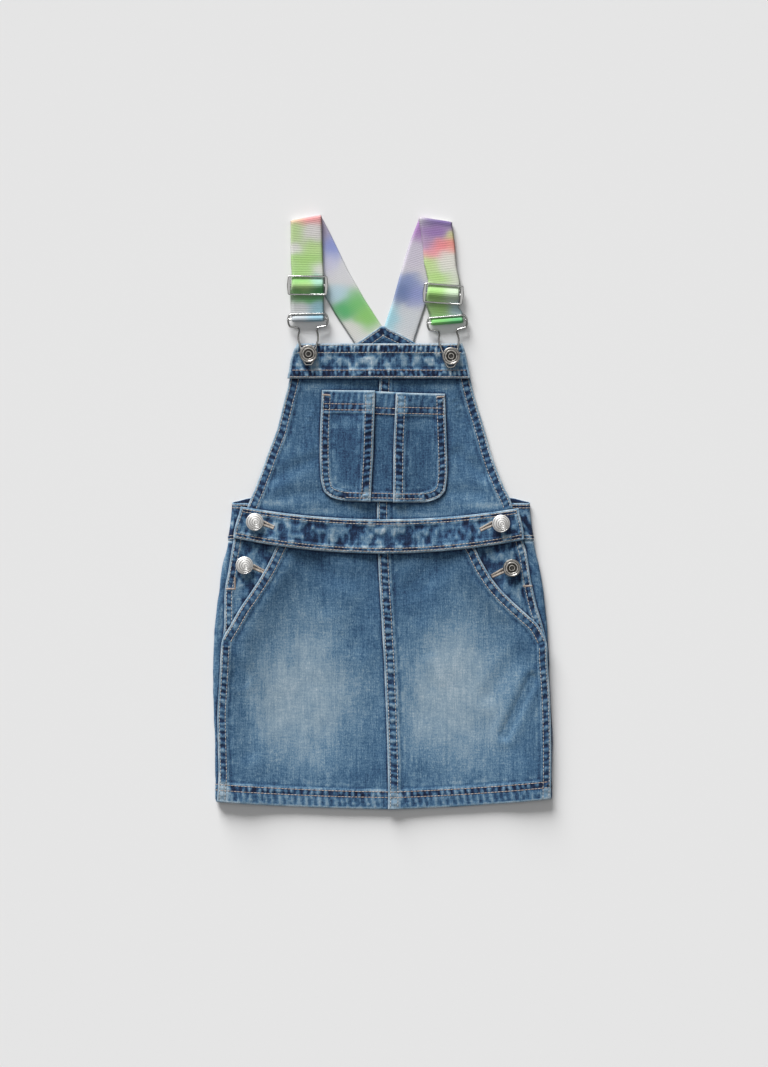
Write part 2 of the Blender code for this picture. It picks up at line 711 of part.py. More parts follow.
def strap_route(plan):
    """Give the ends of every station of a strap, from the back bib to the slider's bar."""
    route = []
    for start, end in zip(plan.back, plan.back[1:] + [plan.fold]):
        steps = max(1, round(abs(end.left_y - start.left_y) / 14.0))
        for i in range(steps):
            share = i / steps
            ends = zip(station_points(start), station_points(end))
            route.append(tuple(a.lerp(b, share) for a, b in ends))
    left, right = station_points(plan.fold)
    across = (right - left).normalized()
    outwards = Vector((-across.y, across.x, 0.0))
    for i in range(9):
        angle = math.pi * i / 8
        lift = Vector((0, 0, STRAP_FOLD_RADIUS * (1 - math.cos(angle))))
        bulge = outwards * (STRAP_FOLD_RADIUS * math.sin(angle)) + lift
        route.append((left + bulge, right + bulge))
    route += [station_points(station) for station in plan.front]
    half_slider = SLIDER_LENGTH / 2 - SLIDER_RAIL / 2
    over_slider = [
        (-half_slider - 3.0, WEB_UNDER_RAIL),
        (-half_slider, WEB_UNDER_RAIL),
        (-half_slider + 1.6, WEB_UNDER_RAIL + 0.4),
        (-2.6, WEB_OVER_BAR - 0.9),
        (-1.2, WEB_OVER_BAR),
        (1.2, WEB_OVER_BAR),
        (2.6, WEB_OVER_BAR - 0.9),
        (half_slider - 1.6, WEB_UNDER_RAIL + 0.4),
        (half_slider, WEB_UNDER_RAIL),
        (half_slider + 2.6, WEB_UNDER_RAIL),
    ]
    route += [web_line(plan.slider, along, z) for along, z in over_slider]
    to_bar = [
        (-3.2, HOOK_BAR_Z - ROLL_RADIUS + 0.35),
        (0.0, HOOK_BAR_Z - ROLL_RADIUS),
        (1.3, HOOK_BAR_Z - 1.5),
        (HOOK_BAR_DROP / 2, HOOK_BAR_Z),
        (HOOK_BAR_DROP - 1.5, HOOK_BAR_Z + 1.4),
    ]
    route += [web_line(plan.hook, along, z) for along, z in to_bar]
    for i in range(9):
        angle = math.pi * i / 8
        along = HOOK_BAR_DROP + ROLL_RADIUS * math.sin(angle)
        route.append(web_line(plan.hook, along, HOOK_BAR_Z + ROLL_RADIUS * math.cos(angle)))
    going_back = [
        (1.4, 1.15, -0.4),
        (-0.4, STRAP_BACK_Z, -0.8),
        (-3.6, STRAP_BACK_Z, -1.0),
    ]
    route += [web_line(plan.hook, along, z, shift) for along, z, shift in going_back]
    to_slider = [
        (half_slider + 0.6, RETURN_Z, -1.0),
        (half_slider - 2.4, RETURN_Z, -1.0),
        (2.4, SLIDER_Z - 2.2, -0.6),
        (0.4, SLIDER_Z - 1.9, -0.6),
    ]
    route += [web_line(plan.slider, along, z, shift) for along, z, shift in to_slider]
    return route


def strap(stack, name, plan):
    """Make a strap's webbing as one wall along its route."""
    route = strap_route(plan)
    middles = [(left + right) / 2 for left, right in route]
    upper, lower = [], []
    for index, (left, right) in enumerate(route):
        ahead = middles[min(index + 1, len(middles) - 1)]
        behind = middles[max(index - 1, 0)]
        normal = (right - left).cross(ahead - behind).normalized() * (WEBBING / 2)
        upper.append([left + normal, right + normal])
        lower.append([left - normal, right - normal])
    vertices, faces = slab(upper, lower)
    stack.add(vertices, faces)
    return make_object(name, vertices, faces, "webbing", smooth_angle=30)


def slider(name, place):
    """Make a slider: a flat frame with a bar across its middle, which ends in small ears."""
    half_width, half_length = SLIDER_WIDTH / 2, SLIDER_LENGTH / 2
    xs = [-half_width, -half_width + SLIDER_SIDE, half_width - SLIDER_SIDE, half_width]
    ys = [-half_length, -half_length + SLIDER_RAIL, -SLIDER_BAR / 2]
    ys += [-y for y in reversed(ys)]
    windows = {(1, 1), (1, 3)}
    build = bmesh.new()
    grid = {}
    for i, x in enumerate(xs):
        for j, y in enumerate(ys):
            ear = SLIDER_EAR * (1 if i == 3 else -1) if i in (0, 3) and j in (2, 3) else 0.0
            corner = 0.6 if i in (0, 3) and j in (0, 5) else 0.0
            inset = -corner if y > 0 else corner
            grid[i, j] = build.verts.new((x + ear, y + inset, -SLIDER_PLATE / 2))
    for i in range(3):
        for j in range(5):
            if (i, j) not in windows:
                build.faces.new([grid[i, j], grid[i + 1, j], grid[i + 1, j + 1], grid[i, j + 1]])
    raised = bmesh.ops.extrude_face_region(build, geom=list(build.faces))
    tops = [v for v in raised["geom"] if isinstance(v, bmesh.types.BMVert)]
    bmesh.ops.translate(build, verts=tops, vec=(0, 0, SLIDER_PLATE))
    bmesh.ops.recalc_face_normals(build, faces=build.faces)
    turned = Matrix.Translation((place.x, place.y, SLIDER_Z))
    turned = turned @ Matrix.Rotation(math.radians(place.turn), 4, "Z")
    bmesh.ops.transform(build, matrix=Matrix.Scale(MM, 4) @ turned, verts=build.verts)
    mesh = bpy.data.meshes.new(name)
    build.to_mesh(mesh)
    build.free()
    mesh.materials.append(make_material("hardware"))
    thing = bpy.data.objects.new(name, mesh)
    bpy.context.scene.collection.objects.link(thing)
    bevel = thing.modifiers.new("rounded edges", "BEVEL")
    bevel.width = 0.35 * MM
    bevel.segments = 1
    bevel.limit_method = "ANGLE"
    bevel.angle_limit = math.radians(50)
    return thing


def ring_tube(points, radius, sides):
    """Give the points and faces of a closed loop of wire."""
    count = len(points)
    vertices = []
    for index, point in enumerate(points):
        along = (points[(index + 1) % count] - points[index - 1]).normalized()
        out = along.cross(Vector((0, 0, 1))).normalized()
        up = out.cross(along).normalized()
        for side in range(sides):
            angle = math.tau * side / sides
            vertices.append(point + out * radius * math.cos(angle) + up * radius * math.sin(angle))
    faces = []
    for index in range(count):
        following = (index + 1) % count
        for side in range(sides):
            turn = (side + 1) % sides
            faces.append(
                [
                    index * sides + side,
                    following * sides + side,
                    following * sides + turn,
                    index * sides + turn,
                ]
            )
    return vertices, faces


def hook(stack, name, place):
    """Make a wire hook, a frame for the webbing and a loop for the button, and give its wire's top."""
    outline = [(row.along, row.half) for row in HOOK_OUTLINE]
    outline += [(row.along, -row.half) for row in HOOK_OUTLINE[-2:0:-1]]
    over_band = [placed(place, *point, 0.0) for point in outline if point[0] > HOOK_ON_BAND]
    loop_z = max(stack.top_near(point.x, point.y) for point in over_band) + GAP + WIRE_RADIUS
    points = []
    for along, across in outline:
        share = smoothstep(HOOK_BAR_DROP, HOOK_ON_BAND, along)
        z = HOOK_BAR_Z + (loop_z - HOOK_BAR_Z) * share
        points.append(placed(place, along, across, z))
    vertices, faces = ring_tube(points, WIRE_RADIUS, WIRE_SIDES)
    thing = make_object(name, vertices, faces, "hardware", smooth_angle=60)

    left = placed(place, HOOK_BAR_DROP, -HOOK_BAR_HALF, HOOK_BAR_Z)
    right = placed(place, HOOK_BAR_DROP, HOOK_BAR_HALF, HOOK_BAR_Z)
    bar = bmesh.new()
    bmesh.ops.create_cone(
        bar,
        cap_ends=True,
        segments=8,
        radius1=WIRE_RADIUS * MM,
        radius2=WIRE_RADIUS * MM,
        depth=(right - left).length * MM,
    )
    lie_down = (right - left).to_track_quat("Z", "Y").to_matrix().to_4x4()
    middle = Matrix.Translation((left + right) / 2 * MM)
    bmesh.ops.transform(bar, matrix=middle @ lie_down, verts=bar.verts)
    mesh = bpy.data.meshes.new(name + "_bar")
    bar.to_mesh(mesh)
    bar.free()
    bar_object = bpy.data.objects.new(name + "_bar", mesh)
    bpy.context.scene.collection.objects.link(bar_object)
    bar_object.hide_render = True
    bar_object.display_type = "WIRE"
    joined = thing.modifiers.new("bar", "BOOLEAN")
    joined.operation = "UNION"
    joined.object = bar_object
    return loop_z + WIRE_RADIUS


def button(stack, plan, wire_top=0.0):
    """Turn a tack button and stand it on the cloth below it, with its cap clear of a hook's wire."""
    neck = plan.outline[0].radius
    base = stack.rest_near(plan.x, plan.y, neck)
    longer_neck = max(0.0, wire_top + GAP - base - plan.outline[1].height)
    levels = [base] + [base + longer_neck + turning.height for turning in plan.outline[1:]]
    vertices = [Vector((plan.x, plan.y, base))]
    for turning, level in zip(plan.outline, levels):
        for step in range(BUTTON_SEGMENTS):
            angle = math.tau * step / BUTTON_SEGMENTS
            around = Vector((math.cos(angle), math.sin(angle), 0.0)) * turning.radius
            vertices.append(Vector((plan.x, plan.y, level)) + around)
    vertices.append(Vector((plan.x, plan.y, levels[-1])))
    top = len(vertices) - 1
    faces = []
    for step in range(BUTTON_SEGMENTS):
        turn = (step + 1) % BUTTON_SEGMENTS
        faces.append([0, 1 + turn, 1 + step])
        for ring in range(len(plan.outline) - 1):
            low = 1 + ring * BUTTON_SEGMENTS
            high = low + BUTTON_SEGMENTS
            faces.append([low + step, low + turn, high + turn, high + step])
        last = 1 + (len(plan.outline) - 1) * BUTTON_SEGMENTS
        faces.append([last + step, last + turn, top])
    return make_object(plan.name, vertices, faces, plan.material, smooth_angle=50)


def panel(name, rows, spacing, columns, thickness=CLOTH, on_floor=False, **turns):
    """Name a panel's table, how finely it is divided, and the widths of its turned edges."""
    widths = [turns.get(edge, 0.0) for edge in ("left", "right", "bottom", "top")]
    return PanelPlan(name, rows, spacing, columns, thickness, *widths, on_floor)


def main():
    """Build the dress from the surface that it lies on upwards."""
    clear_scene()
    stack = Stack()
    for side, plan in STRAPS.items():
        strap(stack, "strap_" + side, plan)
    lay_panel(stack, panel("back_bib", BACK_BIB, 10.0, 10, on_floor=True), "denim_dark")
    skirt_levels = levels_between(BACK_SKIRT[0].height, BACK_SKIRT[-1].height, 26.0)
    wrap_piece(stack, "back_skirt", BACK_SKIRT, skirt_levels, "denim")
    band_levels = levels_between(BACK_WAISTBAND[0].height, BACK_WAISTBAND[-1].height, 11.0)
    wrap_piece(stack, "back_waistband", BACK_WAISTBAND, band_levels, "denim_dark")
    panels = [
        (panel("hip_panel_left", HIP_LEFT, 14.0, 3, left=8.5), "denim_dark"),
        (panel("hip_panel_right", HIP_RIGHT, 14.0, 3, right=8.5), "denim_dark"),
        (panel("front_skirt_left", FRONT_SKIRT_LEFT, 13.0, 12, left=9.0, bottom=16.0), "denim"),
        (
            panel("front_skirt_right", FRONT_SKIRT_RIGHT, 13.0, 11, left=10.8, right=9.0, bottom=16.0),
            "denim",
        ),
        (panel("bib_left", BIB_LEFT, 11.0, 7, left=9.5), "denim"),
        (panel("bib_right", BIB_RIGHT, 11.0, 6, left=10.8, right=9.5), "denim"),
        (panel("bib_pocket_centre", POCKET_CENTRE, 14.0, 4, top=19.0), "denim"),
        (panel("bib_pocket_left", POCKET_LEFT, 11.0, 4, right=10.3, top=19.0), "denim"),
        (panel("bib_pocket_right", POCKET_RIGHT, 11.0, 4, left=10.3, top=19.0), "denim"),
        (panel("bib_band", BIB_BAND, 8.0, 15, thickness=1.8), "denim_dark"),
        (panel("front_waistband", FRONT_WAISTBAND, 7.0, 26, thickness=2.0), "denim_dark"),
    ]
    for plan, material in panels:
        lay_panel(stack, plan, material)
    wire_tops = {}
    for side, plan in STRAPS.items():
        slider("slider_" + side, plan.slider)
        wire_tops["button_bib_" + side] = hook(stack, "hook_" + side, plan.hook)
    for plan in BUTTONS:
        button(stack, plan, wire_tops.get(plan.name, 0.0))


main()
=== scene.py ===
"""The looks of a child's denim dungaree dress that lies flat on its back, seen from straight above.

The tables give lengths in millimetres, and Blender works in metres. +Z is up from the surface that
the dress lies on, +Y runs from the hem to the straps, and +X is to the right as seen from above.
"Left" and "right" are as seen from above.

Each panel of denim is a thin shell on its solid's form. The panels are laid in order, each on those
already there. A panel carries one value at each point, its wash and shade: below zero the denim is
dark, as in the hollows of a puckered seam, and also where shade is painted in, beside the edges of
the pieces lying on it, in its creases, in buttonhole slits and on the inner face of the side folds;
above zero it is worn light, as on a folded edge.
"""

from __future__ import annotations

import logging
import math
from dataclasses import dataclass, field
from enum import Enum
from typing import NamedTuple, Sequence

import bmesh
import bpy
import numpy as np
from mathutils import Matrix, Vector
from mathutils.bvhtree import BVHTree

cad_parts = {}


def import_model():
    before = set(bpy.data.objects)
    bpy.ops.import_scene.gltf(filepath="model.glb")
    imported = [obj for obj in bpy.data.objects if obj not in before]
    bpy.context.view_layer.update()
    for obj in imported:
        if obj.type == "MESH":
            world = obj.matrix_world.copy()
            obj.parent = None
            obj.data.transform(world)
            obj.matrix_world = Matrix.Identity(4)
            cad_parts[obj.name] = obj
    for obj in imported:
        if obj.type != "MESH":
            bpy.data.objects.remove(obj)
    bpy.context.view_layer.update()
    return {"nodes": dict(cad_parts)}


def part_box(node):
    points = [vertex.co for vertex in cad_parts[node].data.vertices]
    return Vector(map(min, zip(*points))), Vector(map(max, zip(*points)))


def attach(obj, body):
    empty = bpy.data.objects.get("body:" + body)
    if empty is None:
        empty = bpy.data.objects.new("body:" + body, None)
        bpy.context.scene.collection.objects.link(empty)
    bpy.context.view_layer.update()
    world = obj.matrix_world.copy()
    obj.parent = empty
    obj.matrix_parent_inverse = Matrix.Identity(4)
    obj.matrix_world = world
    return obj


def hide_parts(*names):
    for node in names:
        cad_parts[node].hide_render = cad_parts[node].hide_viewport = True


LOG = logging.getLogger("dungaree_dress")
MM = 0.001
BODY = "root"

CLOTH = 1.1
CLEARANCE = 0.12
FOLD_HEIGHT = 6.0
MEASURED_INSIDE = 0.985
BILLOW_EDGE = 150.0
BILLOW_IN = 34.0
BILLOW_UP = 80.0
SENSOR = 36.0


class Edge(Enum):
    """The four edges of a panel, as seen from above."""

    LEFT = "left"
    RIGHT = "right"
    BOTTOM = "bottom"
    TOP = "top"


class Thread(Enum):
    """The colours of sewing thread, as red, green and blue."""

    COPPER = (0.41, 0.325, 0.275)
    SAND = (0.44, 0.385, 0.33)
    STONE = (0.36, 0.355, 0.34)


class Row(NamedTuple):
    """A row across a panel: the x of its ends, how far they lie above its height, and its sag."""

    height: float
    left: float
    right: float
    left_lift: float
    right_lift: float
    bow: float


class WrapRow(NamedTuple):
    """A row of a piece that curls round both sides, and how far it goes on over the front."""

    height: float
    left: float
    right: float
    left_over: float
    right_over: float
    bow: float
    right_lift: float
    back_lift: float


class Turn(NamedTuple):
    """A turned or lapped strip along an edge: its width, stitch rows, stretch and puckers."""

    edge: Edge
    width: float
    rows: tuple[float, ...]
    thread: Thread
    roping: float
    pitch: float
    start: float = -1000.0
    stop: float = 1000.0


class Crease(NamedTuple):
    """A soft trough between two points of a panel, with its width and depth; on a panel the depth also
    sets the shade painted in the trough.
    """

    start_x: float
    start_y: float
    end_x: float
    end_y: float
    width: float
    depth: float


class Fade(NamedTuple):
    """A worn, paler area of the cloth: its middle, reach and strength, below zero where it is darker."""

    x: float
    y: float
    reach_x: float
    reach_y: float
    strength: float


class Hole(NamedTuple):
    """A buttonhole, from beside its button to its far end."""

    start_x: float
    start_y: float
    end_x: float
    end_y: float


class Place(NamedTuple):
    """The middle of a piece of hardware, and its turn in degrees."""

    x: float
    y: float
    turn: float


class Station(NamedTuple):
    """A line across a strap's webbing by its two ends, and its height."""

    left_x: float
    left_y: float
    right_x: float
    right_y: float
    z: float


class Leg(Enum):
    """The two legs of a strap."""

    BACK = "back"
    FRONT = "front"


class Dye(NamedTuple):
    """A soft patch of dye on a strap: the leg, its middle, its reach and its colour."""

    leg: Leg
    x: float
    y: float
    reach_x: float
    reach_y: float
    color: tuple[int, int, int]


BACK_SKIRT = [
    WrapRow(-261.0, -150.5, 152.0, 11.0, 10.0, 7.0, 2.5, 0.0),
    WrapRow(-241.0, -151.0, 152.0, 12.0, 10.0, 7.0, 1.0, 0.0),
    WrapRow(-205.0, -151.5, 153.0, 12.0, 11.0, 6.0, 0.0, 0.0),
    WrapRow(-169.0, -153.0, 151.0, 13.0, 11.0, 5.0, 0.0, 0.0),
    WrapRow(-133.0, -153.0, 149.5, 15.0, 12.0, 4.0, 0.0, 0.0),
    WrapRow(-110.0, -152.0, 148.5, 18.0, 15.0, 4.0, 0.0, 0.0),
    WrapRow(-88.0, -150.0, 146.5, 26.0, 26.0, 4.0, 0.0, 0.0),
    WrapRow(-70.0, -147.5, 144.5, 34.0, 36.0, 5.0, 0.0, 0.0),
    WrapRow(-50.0, -145.0, 141.0, 34.0, 36.0, 5.0, 0.0, 0.0),
    WrapRow(-26.5, -139.5, 136.0, 31.0, 31.0, 6.0, 0.0, 0.0),
]

BACK_WAISTBAND = [
    WrapRow(-26.0, -139.5, 136.0, 31.0, 31.0, 6.0, 0.0, 0.0),
    WrapRow(-9.0, -137.5, 133.5, 31.0, 31.0, 5.5, 0.0, 1.5),
    WrapRow(8.0, -136.0, 132.5, 31.0, 31.0, 5.0, 0.0, 6.0),
]

BACK_BIB = [
    Row(12.8, -109.0, 111.0, 0.0, 0.0, 3.4),
    Row(29.0, -96.0, 98.0, 0.0, 0.0, 2.0),
    Row(47.0, -86.5, 89.0, 0.0, 0.0, 0.0),
    Row(65.0, -78.5, 82.0, 0.0, 0.0, 0.0),
    Row(83.0, -71.0, 76.5, 0.0, 0.0, 0.0),
    Row(101.0, -64.0, 69.5, 0.0, 0.0, 0.0),
    Row(119.0, -55.0, 60.5, 0.0, 0.0, 0.0),
    Row(137.0, -42.5, 47.5, 0.0, 0.0, 0.0),
    Row(146.0, -32.5, 38.0, 0.0, 0.0, 0.0),
    Row(152.5, -22.5, 28.5, 0.0, 0.0, 0.0),
    Row(160.0, -12.5, 16.0, 0.0, 0.0, 0.0),
    Row(167.5, -2.6, 2.0, 0.0, 0.0, 0.0),
]

FRONT_SKIRT_LEFT = [
    Row(-261.0, -149.5, 12.5, 0.0, -7.0, 1.5),
    Row(-238.5, -148.0, 12.5, 0.0, -7.0, 1.5),
    Row(-213.5, -148.5, 12.0, 0.0, -5.0, 1.0),
    Row(-181.0, -149.0, 11.0, 0.0, -3.0, 0.0),
    Row(-147.5, -147.0, 10.0, 0.0, -3.0, 0.0),
    Row(-128.5, -146.0, 9.0, 0.0, -3.0, 0.0),
    Row(-115.0, -144.5, 8.0, 0.0, -3.0, 0.0),
    Row(-101.5, -137.0, 7.5, 0.0, -4.5, 0.0),
    Row(-86.5, -128.5, 6.5, 0.0, -7.0, 0.0),
    Row(-71.0, -118.0, 6.0, 0.0, -9.0, 0.5),
    Row(-55.0, -108.0, 5.0, 0.0, -11.0, 1.0),
    Row(-42.0, -101.0, 4.5, 0.0, -12.0, 1.5),
    Row(-32.0, -96.5, 4.0, 0.0, -12.0, 1.5),
    Row(-23.5, -92.0, 3.5, 0.0, -10.0, 1.5),
]

FRONT_SKIRT_RIGHT = [
    Row(-258.5, 4.5, 151.0, -9.5, 0.0, 1.5),
    Row(-238.5, 4.5, 151.5, -7.5, 0.0, 1.5),
    Row(-213.5, 4.0, 151.5, -6.0, 0.0, 1.0),
    Row(-183.5, 3.0, 151.0, -3.5, 0.0, 0.0),
    Row(-161.0, 2.0, 150.0, -3.0, 0.0, 0.0),
    Row(-133.0, 1.0, 148.0, -3.0, 0.0, 0.0),
    Row(-116.5, 0.0, 147.0, -3.5, 0.0, 0.0),
    Row(-101.0, -0.8, 139.0, -5.0, 0.0, 0.0),
    Row(-91.0, -1.3, 128.0, -6.5, 0.0, 0.0),
    Row(-81.0, -1.8, 117.0, -8.0, 0.0, 0.5),
    Row(-70.0, -2.5, 106.0, -9.5, 0.0, 0.5),
    Row(-59.5, -3.0, 97.5, -10.5, 0.0, 1.0),
    Row(-45.0, -3.8, 89.0, -12.0, 0.0, 1.5),
    Row(-33.5, -4.3, 83.5, -12.0, 0.0, 1.5),
    Row(-25.0, -4.8, 79.0, -9.0, 0.0, 1.5),
]

HIP_LEFT = [
    Row(-119.0, -145.0, -134.0, 0.0, -3.0, 0.0),
    Row(-103.5, -143.0, -128.5, 0.0, -4.5, 0.0),
    Row(-87.0, -142.8, -119.5, 0.0, -5.0, 0.0),
    Row(-71.0, -142.5, -110.0, 0.0, -6.0, 0.0),
    Row(-55.0, -139.5, -100.0, 0.0, -7.0, 0.0),
    Row(-36.0, -136.5, -90.0, 0.0, -8.0, 0.0),
    Row(-18.0, -133.5, -81.0, 0.0, -8.0, 0.0),
]

HIP_RIGHT = [
    Row(-119.0, 137.0, 147.5, -4.0, 0.0, 0.0),
    Row(-101.0, 129.5, 143.5, -5.0, 0.0, 0.0),
    Row(-85.0, 116.0, 138.5, -6.0, 0.0, 0.0),
    Row(-70.0, 101.0, 135.0, -7.0, 0.0, 0.0),
    Row(-55.0, 87.5, 132.0, -7.0, 0.0, 0.0),
    Row(-38.5, 78.0, 129.5, -8.0, 0.0, 0.0),
    Row(-20.0, 68.0, 125.0, -8.0, 0.0, 0.0),
]

FRONT_WAISTBAND = [
    Row(-23.5, -134.5, 127.0, 0.0, -1.5, 13.3),
    Row(-14.5, -133.3, 126.0, 0.0, -1.0, 12.5),
    Row(5.0, -128.0, 122.0, 0.0, -1.5, 10.8),
]

BIB_LEFT = [
    Row(2.5, -122.5, 3.5, 0.0, -14.0, 4.0),
    Row(11.0, -119.5, 3.5, 0.0, -11.0, 3.0),
    Row(20.0, -115.5, 3.5, 0.0, -8.0, 2.0),
    Row(38.0, -109.0, 4.0, 0.0, -4.0, 0.0),
    Row(56.0, -102.5, 4.5, 0.0, 0.0, 0.0),
    Row(74.0, -95.5, 5.0, 0.0, 0.0, 0.0),
    Row(101.0, -89.0, 5.5, 0.0, 0.0, 0.0),
    Row(119.0, -84.5, 6.0, 0.0, 0.0, 0.0),
    Row(137.0, -82.0, 6.0, 0.0, 0.0, 0.0),
    Row(148.0, -78.5, 6.0, 0.0, 0.0, 0.0),
]

BIB_RIGHT = [
    Row(2.5, -5.5, 117.0, -14.0, 0.0, 4.0),
    Row(11.0, -5.5, 114.5, -11.0, 0.0, 3.0),
    Row(22.0, -5.5, 109.0, -8.0, 0.0, 2.0),
    Row(38.0, -5.0, 102.5, -4.0, 0.0, 0.0),
    Row(56.0, -4.5, 96.5, 0.0, 0.0, 0.0),
    Row(74.0, -4.3, 91.5, 0.0, 0.0, 0.0),
    Row(101.0, -3.8, 83.5, 0.0, 0.0, 0.0),
    Row(119.0, -3.4, 79.0, 0.0, 0.0, 0.0),
    Row(137.0, -3.0, 75.0, 0.0, 0.0, 0.0),
    Row(148.0, -3.0, 72.0, 0.0, 0.0, 0.0),
]

BIB_BAND = [
    Row(120.2, -86.2, 78.8, 0.0, 0.0, 0.0),
    Row(128.5, -84.5, 77.2, 0.0, 0.0, 0.0),
    Row(137.0, -83.2, 75.6, 0.0, 0.0, 0.0),
    Row(146.0, -80.3, 73.6, 0.0, 0.0, 0.0),
    Row(151.6, -77.4, 71.6, 0.0, 0.0, 0.0),
]

POCKET_CENTRE = [
    Row(9.5, -19.5, 17.0, 0.0, -0.7, 0.0),
    Row(56.5, -17.5, 18.5, 0.0, -0.8, 0.0),
    Row(109.0, -15.0, 20.0, 0.0, -1.5, 0.0),
]

POCKET_LEFT = [
    Row(9.8, -34.0, -11.0, 0.0, -0.8, 0.0),
    Row(11.0, -41.0, -10.9, 0.0, -0.6, 0.0),
    Row(13.2, -47.0, -10.8, 0.0, -0.4, 0.0),
    Row(18.0, -53.0, -10.5, 0.0, -0.2, 0.0),
    Row(29.5, -56.0, -9.9, 0.0, 0.0, 0.0),
    Row(51.5, -57.0, -8.7, 0.0, 0.0, 0.0),
    Row(79.0, -56.5, -7.8, 0.0, 0.0, 0.0),
    Row(110.0, -55.0, -7.0, 0.0, -0.8, 0.0),
]

POCKET_RIGHT = [
    Row(8.4, 9.0, 38.0, 0.0, 0.2, 0.0),
    Row(9.8, 9.0, 44.5, 0.0, 0.2, 0.0),
    Row(13.0, 9.0, 51.0, 0.0, 0.0, 0.0),
    Row(19.0, 9.1, 56.0, 0.0, 0.0, 0.0),
    Row(35.0, 9.3, 58.0, 0.0, 0.0, 0.0),
    Row(62.0, 9.6, 57.5, 0.0, 0.0, 0.0),
    Row(90.0, 10.8, 56.5, 0.0, 0.0, 0.0),
    Row(107.3, 11.5, 56.0, 0.0, -0.8, 0.0),
]


LATTICES: dict[int, np.ndarray] = {}


def drift(x: np.ndarray, y: np.ndarray, seed: int) -> np.ndarray:
    """Give smooth uneven values, about -1 to 1, that change over a distance of one.

    Args:
        x: Positions in the first direction.
        y: Positions in the second direction.
        seed: Which of the uneven patterns to use.

    Returns:
        An array like x.
    """
    if seed not in LATTICES:
        LATTICES[seed] = np.random.default_rng(seed).uniform(-1.0, 1.0, (64, 64))
    table = LATTICES[seed]
    column, row = np.floor(x).astype(int), np.floor(y).astype(int)
    u, v = x - column, y - row
    u, v = u * u * (3 - 2 * u), v * v * (3 - 2 * v)
    near = table[column % 64, row % 64] * (1 - u) + table[(column + 1) % 64, row % 64] * u
    far = table[column % 64, (row + 1) % 64] * (1 - u) + table[(column + 1) % 64, (row + 1) % 64] * u
    return near * (1 - v) + far * v


def ramp(low: float, high: float, value: np.ndarray) -> np.ndarray:
    """Rise smoothly from 0 at low to 1 at high."""
    share = np.clip((value - low) / (high - low), 0.0, 1.0)
    return share * share * (3.0 - 2.0 * share)


def hump(distance: np.ndarray, width: float) -> np.ndarray:
    """Give 1 at no distance, falling softly over a width."""
    return np.exp(-((distance / width) ** 2))


def puckers(along: np.ndarray, inside: np.ndarray, pitch: float, seed: int) -> np.ndarray:
    """Give the uneven puckers of a sewn strip.

    Args:
        along: Distances along the strip.
        inside: Distances in from its edge.
        pitch: The distance between puckers.
        seed: Which of the uneven patterns to use.

    Returns:
        Values from -1 in the hollows to 1 on the ridges.
    """
    jitter = 0.30 * drift(along / (pitch * 1.6), inside / 60, seed)
    wave = np.sin(math.tau * (along / pitch + 0.03 * inside + jitter))
    blotch = drift(along / (pitch * 0.45), inside / 2.4, seed + 1)
    force = 0.9 + 0.5 * drift(along / 16, inside / 12, seed + 2)
    return np.tanh(1.5 * force * (0.75 * wave + 0.8 * blotch))


def soften(values: np.ndarray, passes: int) -> np.ndarray:
    """Average a grid of values with their neighbours, a number of times."""
    for _ in range(passes):
        padded = np.pad(values, 1, mode="edge")
        along = (padded[:-2] + padded[1:-1] + padded[2:]) / 3.0
        values = (along[:, :-2] + along[:, 1:-1] + along[:, 2:]) / 3.0
    return values


def filled(values: np.ndarray) -> np.ndarray:
    """Fill the gaps in a grid of values from the values next to them."""
    while np.isnan(values).any():
        padded = np.pad(values, 1, constant_values=np.nan)
        shifts = [padded[1:-1, :-2], padded[1:-1, 2:], padded[:-2, 1:-1], padded[2:, 1:-1]]
        known = np.stack(shifts)
        count = (~np.isnan(known)).sum(axis=0)
        mean = np.where(count > 0, np.nansum(known, axis=0) / np.maximum(count, 1), np.nan)
        values = np.where(np.isnan(values), mean, values)
    return values


def row_at(rows: Sequence, height: float):
    """Give a table's row at any height, on smooth curves through its rows.

    Args:
        rows: The rows of a panel or of a piece that curls round both sides.
        height: The height wanted.

    Returns:
        A row of the same kind.
    """
    last = len(rows) - 2
    index = min(max(i for i in range(len(rows) - 1) if i == 0 or rows[i].height <= height), last)
    start, end = np.array(rows[index]), np.array(rows[index + 1])
    before = np.array(rows[index - 1]) if index else start
    after = np.array(rows[index + 2]) if index < last else end
    share = (height - start[0]) / (end[0] - start[0])
    curve = 2 * before - 5 * start + 4 * end - after + share * (3 * (start - end) + after - before)
    values = start + 0.5 * share * (end - before + share * curve)
    return type(rows[0])(height, *values[1:])


def divided(length: float, spacing: float) -> np.ndarray:
    """Divide a length evenly, with finer steps by both ends where the cloth rounds off."""
    rim = np.array([0.0, 0.3, 0.8, 1.6])
    count = max(2, round((length - 3.2) / spacing))
    middle = 1.6 + (length - 3.2) * np.arange(1, count) / count
    return np.concatenate([rim, middle, (length - rim)[::-1]])


def to_path(x: np.ndarray, y: np.ndarray, path: np.ndarray) -> tuple[np.ndarray, np.ndarray]:
    """Measure points against a path.

    Args:
        x: The points' x.
        y: The points' y.
        path: The path's points.

    Returns:
        How far each point is from the path, and how far along the path its nearest place is.
    """
    nearest = np.full(x.shape, 1e9)
    along = np.zeros(x.shape)
    run = 0.0
    for start, end in zip(path, path[1:]):
        step = end - start
        length = float(np.hypot(*step)) or 1e-9
        share = ((x - start[0]) * step[0] + (y - start[1]) * step[1]) / length**2
        share = np.clip(share, 0.0, 1.0)
        distance = np.hypot(x - start[0] - share * step[0], y - start[1] - share * step[1])
        closer = distance < nearest
        nearest = np.where(closer, distance, nearest)
        along = np.where(closer, run + share * length, along)
        run += length
    return nearest, along


